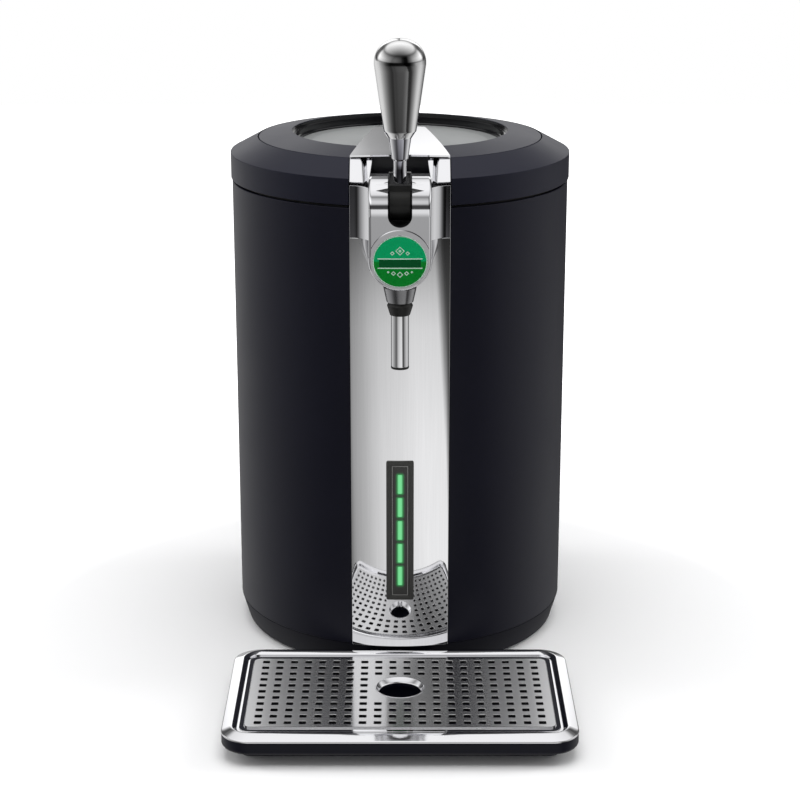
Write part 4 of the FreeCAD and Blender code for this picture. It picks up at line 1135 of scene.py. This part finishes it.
def displayPane():
    # smoked pane, with a painted dark green glow round each bar, given as emission
    material, shader = startMaterial("displayPane", (0.030, 0.030, 0.028), 0.30)
    centre = toFrame @ Vector((0, 0, lampHigh.z - display["lampHeight"] / 2))
    x, _, up = axesOf(objectCoords(shader, offset=tuple(-centre)))
    corner = 0.0006
    across = calc("SUBTRACT", calc("ABSOLUTE", x), display["lampHalf"] * 0.001 - corner)
    fold = calc("PINGPONG", up, display["lampPitch"] * 0.0005)
    along = calc("SUBTRACT", fold, display["lampHeight"] * 0.0005 - corner)
    away = lengthOf(*(calc("MAXIMUM", d, 0.0) for d in (across, along)))
    halo = rangeOf(away, 1.0, 0.0, corner, corner + display["haloReach"] * 0.001)
    last = display["lampPitch"] * (display["lampCount"] - 1)
    tall = nearTo(up, last * -0.0005, (last / 2 + display["lampHeight"] / 2 + 2.2) * 0.001)
    glow = calc("MULTIPLY", calc("POWER", halo, 1.4), tall)
    shader.inputs["Emission Color"].default_value = (0.012, 0.30, 0.065, 1.0)
    feed(shader, "Emission Strength", calc("MULTIPLY", glow, 0.8))
    bumpInto(shader, noiseOf(objectCoords(shader), 900.0), 0.05, 0.00001)
    return material


def makeDisplay():
    low, high, half = displayLow.z, displayHigh.z, displayHigh.x
    frameW = half - paneHigh.x
    bm = bandPanel(display["proud"], display["bezelWall"], (-half, -half + frameW, half - frameW, half),
                   (low, low + frameW, high - frameW, high),
                   hole=(half - frameW, low + frameW, high - frameW))
    corners = [e for e in bm.edges if abs(e.verts[0].co.z - e.verts[1].co.z) < 0.01
               and min(abs(e.verts[0].co.z - low), abs(e.verts[0].co.z - high)) < 0.01
               and min(abs(v.co.x) for v in e.verts) > half - 0.4 and e.calc_length() > 2.0]
    bevelled(bm, corners, display["cornerRound"], 5, clamp=False)
    soften(bm, 0.3, 3, 50.0)
    finishPiece(bm, "displayBezel", "root", "gloss_black", ["display_bezel"], finishes["bezel"])
    inset = frameW + display["paneGap"]
    bm = bandPanel(display["proud"] - 0.3, display["paneWall"], (inset - half, half - inset),
                   (low + inset, high - inset), steps=0.5)
    pane = finishPiece(bm, "displayPane", "root", "smoked", ["display_window"], displayPane())
    pane.visible_glossy = False
    line, width = display["lineHalf"], display["lineWidth"]
    low, high = low + display["lineInset"], high - display["lineInset"]
    bm = bandPanel(display["proud"] - 0.22, 0.3, (-line, -line + width, line - width, line),
                   (low, low + width, high - width, high), hole=(line - width, low + width, high - width))
    finishPiece(bm, "displayLine", "root", "chrome", (), finishes["printed"])
    for i in range(display["lampCount"]):
        top = lampHigh.z - i * display["lampPitch"]
        bottom, x = top - display["lampHeight"], display["lampHalf"]
        y = -display["proud"] - 0.02
        bm = prism([(-x, y, bottom), (x, y, bottom), (x, y, top), (-x, y, top)], (0, 1.2, 0))
        corners = [e for e in bm.edges if abs((e.verts[0].co - e.verts[1].co).normalized().y) > 0.9]
        bevelled(bm, corners, display["lampRound"], 5, clamp=False)
        soften(bm, 0.12, 2, 60.0, lambda p: p.y < y + 0.2)
        lamp = finishPiece(bm, "lamp" + str(i + 1), "root", "light_green", () if i else ["led_bars"],
                           even=False)
        lamp.visible_glossy = False


makeDisplay()
print("display made")


# ---- drip tray ----

trayLow, trayHigh = nodeBox("tray_rim")
gridLow, gridHigh = nodeBox("tray_grid")
baseHigh = nodeBox("tray_base")[1]
tray = {  # outlines as half width, front, rear and corner radius; shares run from one to the next
    "outer": (trayHigh.x, trayLow.y, trayHigh.y, 21.0),
    "mouth": (120.2, -290.9, -151.9, 10.0),
    "seat": (gridHigh.x + 0.3, gridLow.y - 0.3, gridHigh.y + 0.3, 5.3),
    "lip": (gridHigh.x - 3.0, gridLow.y + 3.0, gridHigh.y - 3.0, 3.0),
    "rimLow": trayLow.z,
    "crown": [(0.0, 19.2), (0.0, 19.95), (0.012, 20.3), (0.04, 20.6), (0.09, 20.85), (0.25, 21.55),
              (0.45, 22.42), (0.6, 23.05), (0.68, 23.37), (0.735, 23.5), (0.79, 23.42), (0.86, 22.98),
              (0.97, 22.1), (1.0, 21.75), (1.0, 21.05)],
    "channel": [(0.06, 21.0), (0.3, 20.95), (0.38, 21.2), (0.41, 21.23), (0.44, 21.14), (0.49, 20.95),
                (0.94, 20.95)],
    "plateLow": 20.2,
    "footRound": 3.6,
    "hook": (28.0, -154.0, 5.3, 3.7),
    "skirtLow": 9.0,
    "columns": 20,
    "rows": 11,
    "pitchX": 11.04,
    "pitchY": 10.74,
    "firstRow": -166.5,
    "hole": (5.5, 5.1, 0.9),
    "blankRows": range(3, 7),
    "blankColumns": range(8, 12),
    "cupY": -213.3,
    "cup": 19.0,
    "bore": 15.4,
    "cupLow": 16.0,
    "breakEdge": 0.16,
}


def roundRect(half, front, rear, radius, z, steps=8, centreX=0.0):
    points = []
    corners = ((half - radius, front + radius, -90), (half - radius, rear - radius, 0),
               (-half + radius, rear - radius, 90), (-half + radius, front + radius, 180))
    for x, y, start in corners:
        points += [(*point, z) for point in arcPoints((centreX + x, y), radius, start, start + 90.0, steps)]
    return points


def between(first, second, share):
    return tuple(a + (b - a) * share for a, b in zip(first, second))


def insetBlock(block, inset):
    half, front, rear, radius = block
    return (half - inset, front + inset, rear - inset, max(radius - inset, 3.0))


def makeTrayRim():
    outer, mouth, seat, lip = (tray[key] for key in ("outer", "mouth", "seat", "lip"))
    stations = [(between(outer, mouth, share), z) for share, z in tray["crown"]]
    stations += [(between(mouth, seat, share), z) for share, z in tray["channel"]]
    stations += [(seat, 20.7), (seat, 20.15), (lip, 20.15), (lip, 19.25)]
    loops = [roundRect(*block, z, steps=16) for block, z in stations]
    bm = bmesh.new()
    loft(bm, loops, around=True)
    finishPiece(bm, "trayRim", "drip_tray", "chrome", ["tray_rim"], crease=40.0)


def makeTrayBase():
    # each ring of the basin, shelf, skirt and plinth as its inset from the outline and its height
    low, top, foot = tray["skirtLow"], tray["rimLow"] - 0.05, tray["footRound"]
    stations = [(17.0, 4.0), (17.0, low + 3.2), (3.0, low + 3.2), (3.0, top), (0.9, top), (0.35, top - 0.25),
                (0.1, top - 0.8)]
    stations += [(foot - x, low + foot - z) for x, z in arcPoints((0, 0), foot, 0.0, 90.0, 6)]
    stations += [(14.0, low), (14.4, 2.05)]
    loops = [roundRect(*insetBlock(tray["outer"], inset), z) for inset, z in stations]
    finishPiece(cappedLoft(loops), "trayBase", "drip_tray", "shell_plastic", ["tray_base"], crease=40.0)
    half, front, z, height = tray["hook"]
    rear = baseHigh.y
    hook = prism([(-half, front, z), (half, front, z), (half, rear, z), (-half, rear, z)], (0, 0, height))
    soften(hook, 0.8, 3, 60.0)
    finishPiece(hook, "trayHook", "drip_tray", "shell_plastic")


def brushedPlate():
    # brushed across, so that reflections draw out from front to back
    material, shader = startMaterial("brushedPlate", (0.80, 0.80, 0.81), 0.33, 1.0)
    shader.inputs["Anisotropic"].default_value = 0.97
    tangent = added("Tangent", {}, shader.id_data, direction_type="UV_MAP", uv_map="brushing")
    feed(shader, "Tangent", tangent[0])
    lines = noiseOf(objectCoords(shader, scale=(0.03, 1.0, 1.0)), 2200.0, 3.0)
    feed(shader, "Base Color", blendColours(lines, (0.78, 0.78, 0.79), (0.82, 0.82, 0.83)))
    across = calc("ABSOLUTE", axesOf(objectCoords(shader))[0])
    worn = calc("ADD", rangeOf(across, 0.21, 0.37, 0.036, 0.110), rangeOf(across, 0.0, 0.14, 0.100, 0.116))
    feed(shader, "Roughness", calc("ADD", worn, rangeOf(lines, -0.006, 0.006)))
    return material


def makeGrid():
    half, front, rear = gridHigh.x, gridLow.y, gridHigh.y
    top, low, edge = gridHigh.z, tray["plateLow"], tray["breakEdge"]
    outer = (half, front, rear, 5.0)
    bm = bmesh.new()
    topRings, lowRings = [], []

    def wall(upper, middle, lower):
        rings = loft(bm, [upper, middle, lower])
        topRings.append(rings[0])
        lowRings.append(rings[2])

    wall(roundRect(*insetBlock(outer, edge), top), roundRect(*outer, top - edge), roundRect(*outer, low))
    w, d, r = tray["hole"]
    for row in range(tray["rows"]):
        y = tray["firstRow"] - row * tray["pitchY"]
        for column in range(tray["columns"]):
            if row in tray["blankRows"] and column in tray["blankColumns"]:
                continue
            x = (column - (tray["columns"] - 1) / 2) * tray["pitchX"]
            nominal = (w / 2, y - d / 2, y + d / 2, r)
            wide = (w / 2 + edge, y - d / 2 - edge, y + d / 2 + edge, r + edge)
            wall(*(roundRect(*block, z, 3, x)
                   for block, z in ((wide, top), (nominal, top - edge), (nominal, low))))
    cup, y = tray["cup"], tray["cupY"]
    circle = arcPoints((0, y), cup, 0.0, 360.0, 96)[:-1]
    wall([(*p, top) for p in circle], [(*p, top - 0.4) for p in circle], [(*p, low) for p in circle])
    for rings in (topRings, lowRings):
        edges = [bm.edges.get((ring[i], ring[(i + 1) % len(ring)]))
                 for ring in rings for i in range(len(ring))]
        bmesh.ops.triangle_fill(bm, use_beauty=True, use_dissolve=False, edges=edges)
    uv = bm.loops.layers.uv.new("brushing")
    for face in bm.faces:
        for loop in face.loops:
            loop[uv].uv = (loop.vert.co.y * 0.01, loop.vert.co.x * 0.01)
    bm.normal_update()
    # hole walls and the underside take the near black of painted shade; the rest keeps the brushed plate
    for face in bm.faces:
        centre = face.calc_center_median()
        inHole = abs(centre.x) < half - 1 and front + 1 < centre.y < rear - 1
        face.material_index = 1 if face.normal.z < -0.5 or (abs(face.normal.z) < 0.3 and inHole) else 0
    finishPiece(bm, "trayGrid", "drip_grid", "steel", ["tray_grid"], brushedPlate(),
                others=[finishes["painted_hollow_shade"]])
    bore, deep = tray["bore"], tray["cupLow"]
    ring = [(cup + 0.1, top - 0.1), (cup - 0.15, top + 0.18), (cup - 0.5, top + 0.25), (cup - 0.9, top + 0.1),
            (bore + 0.5, top - 2.6), (bore + 0.1, top - 3.1), (bore, top - 3.7), (bore, deep + 0.1),
            (bore + 1.0, deep), (bore + 1.0, top - 3.4), (cup + 0.1, top - 1.6)]
    finishPiece(turned(ring, centre=(0, y)), "cupRing", "drip_grid", "chrome")


makeTrayRim()
makeTrayBase()
makeGrid()
print("tray made")


# ---- mouldings at the back and under the drum ----

backEdges = {  # how far each edge is broken
    "vent_panel": 0.5,
    "power_inlet": 0.6,
    "switch_frame": 0.4,
    "rocker_switch": 0.5,
    "fan_frame": 0.6,
    "fan_rotor": 0.3,
    "hinge_bracket": 0.6,
    "lid_hinge_arm": 0.8,
    "heat_sink": 0.2,
    "feet": 0.5,
    "tray_feet": 0.4,
}
for nodeName, width in backEdges.items():
    softened(nodeName, width)
print("mouldings softened")
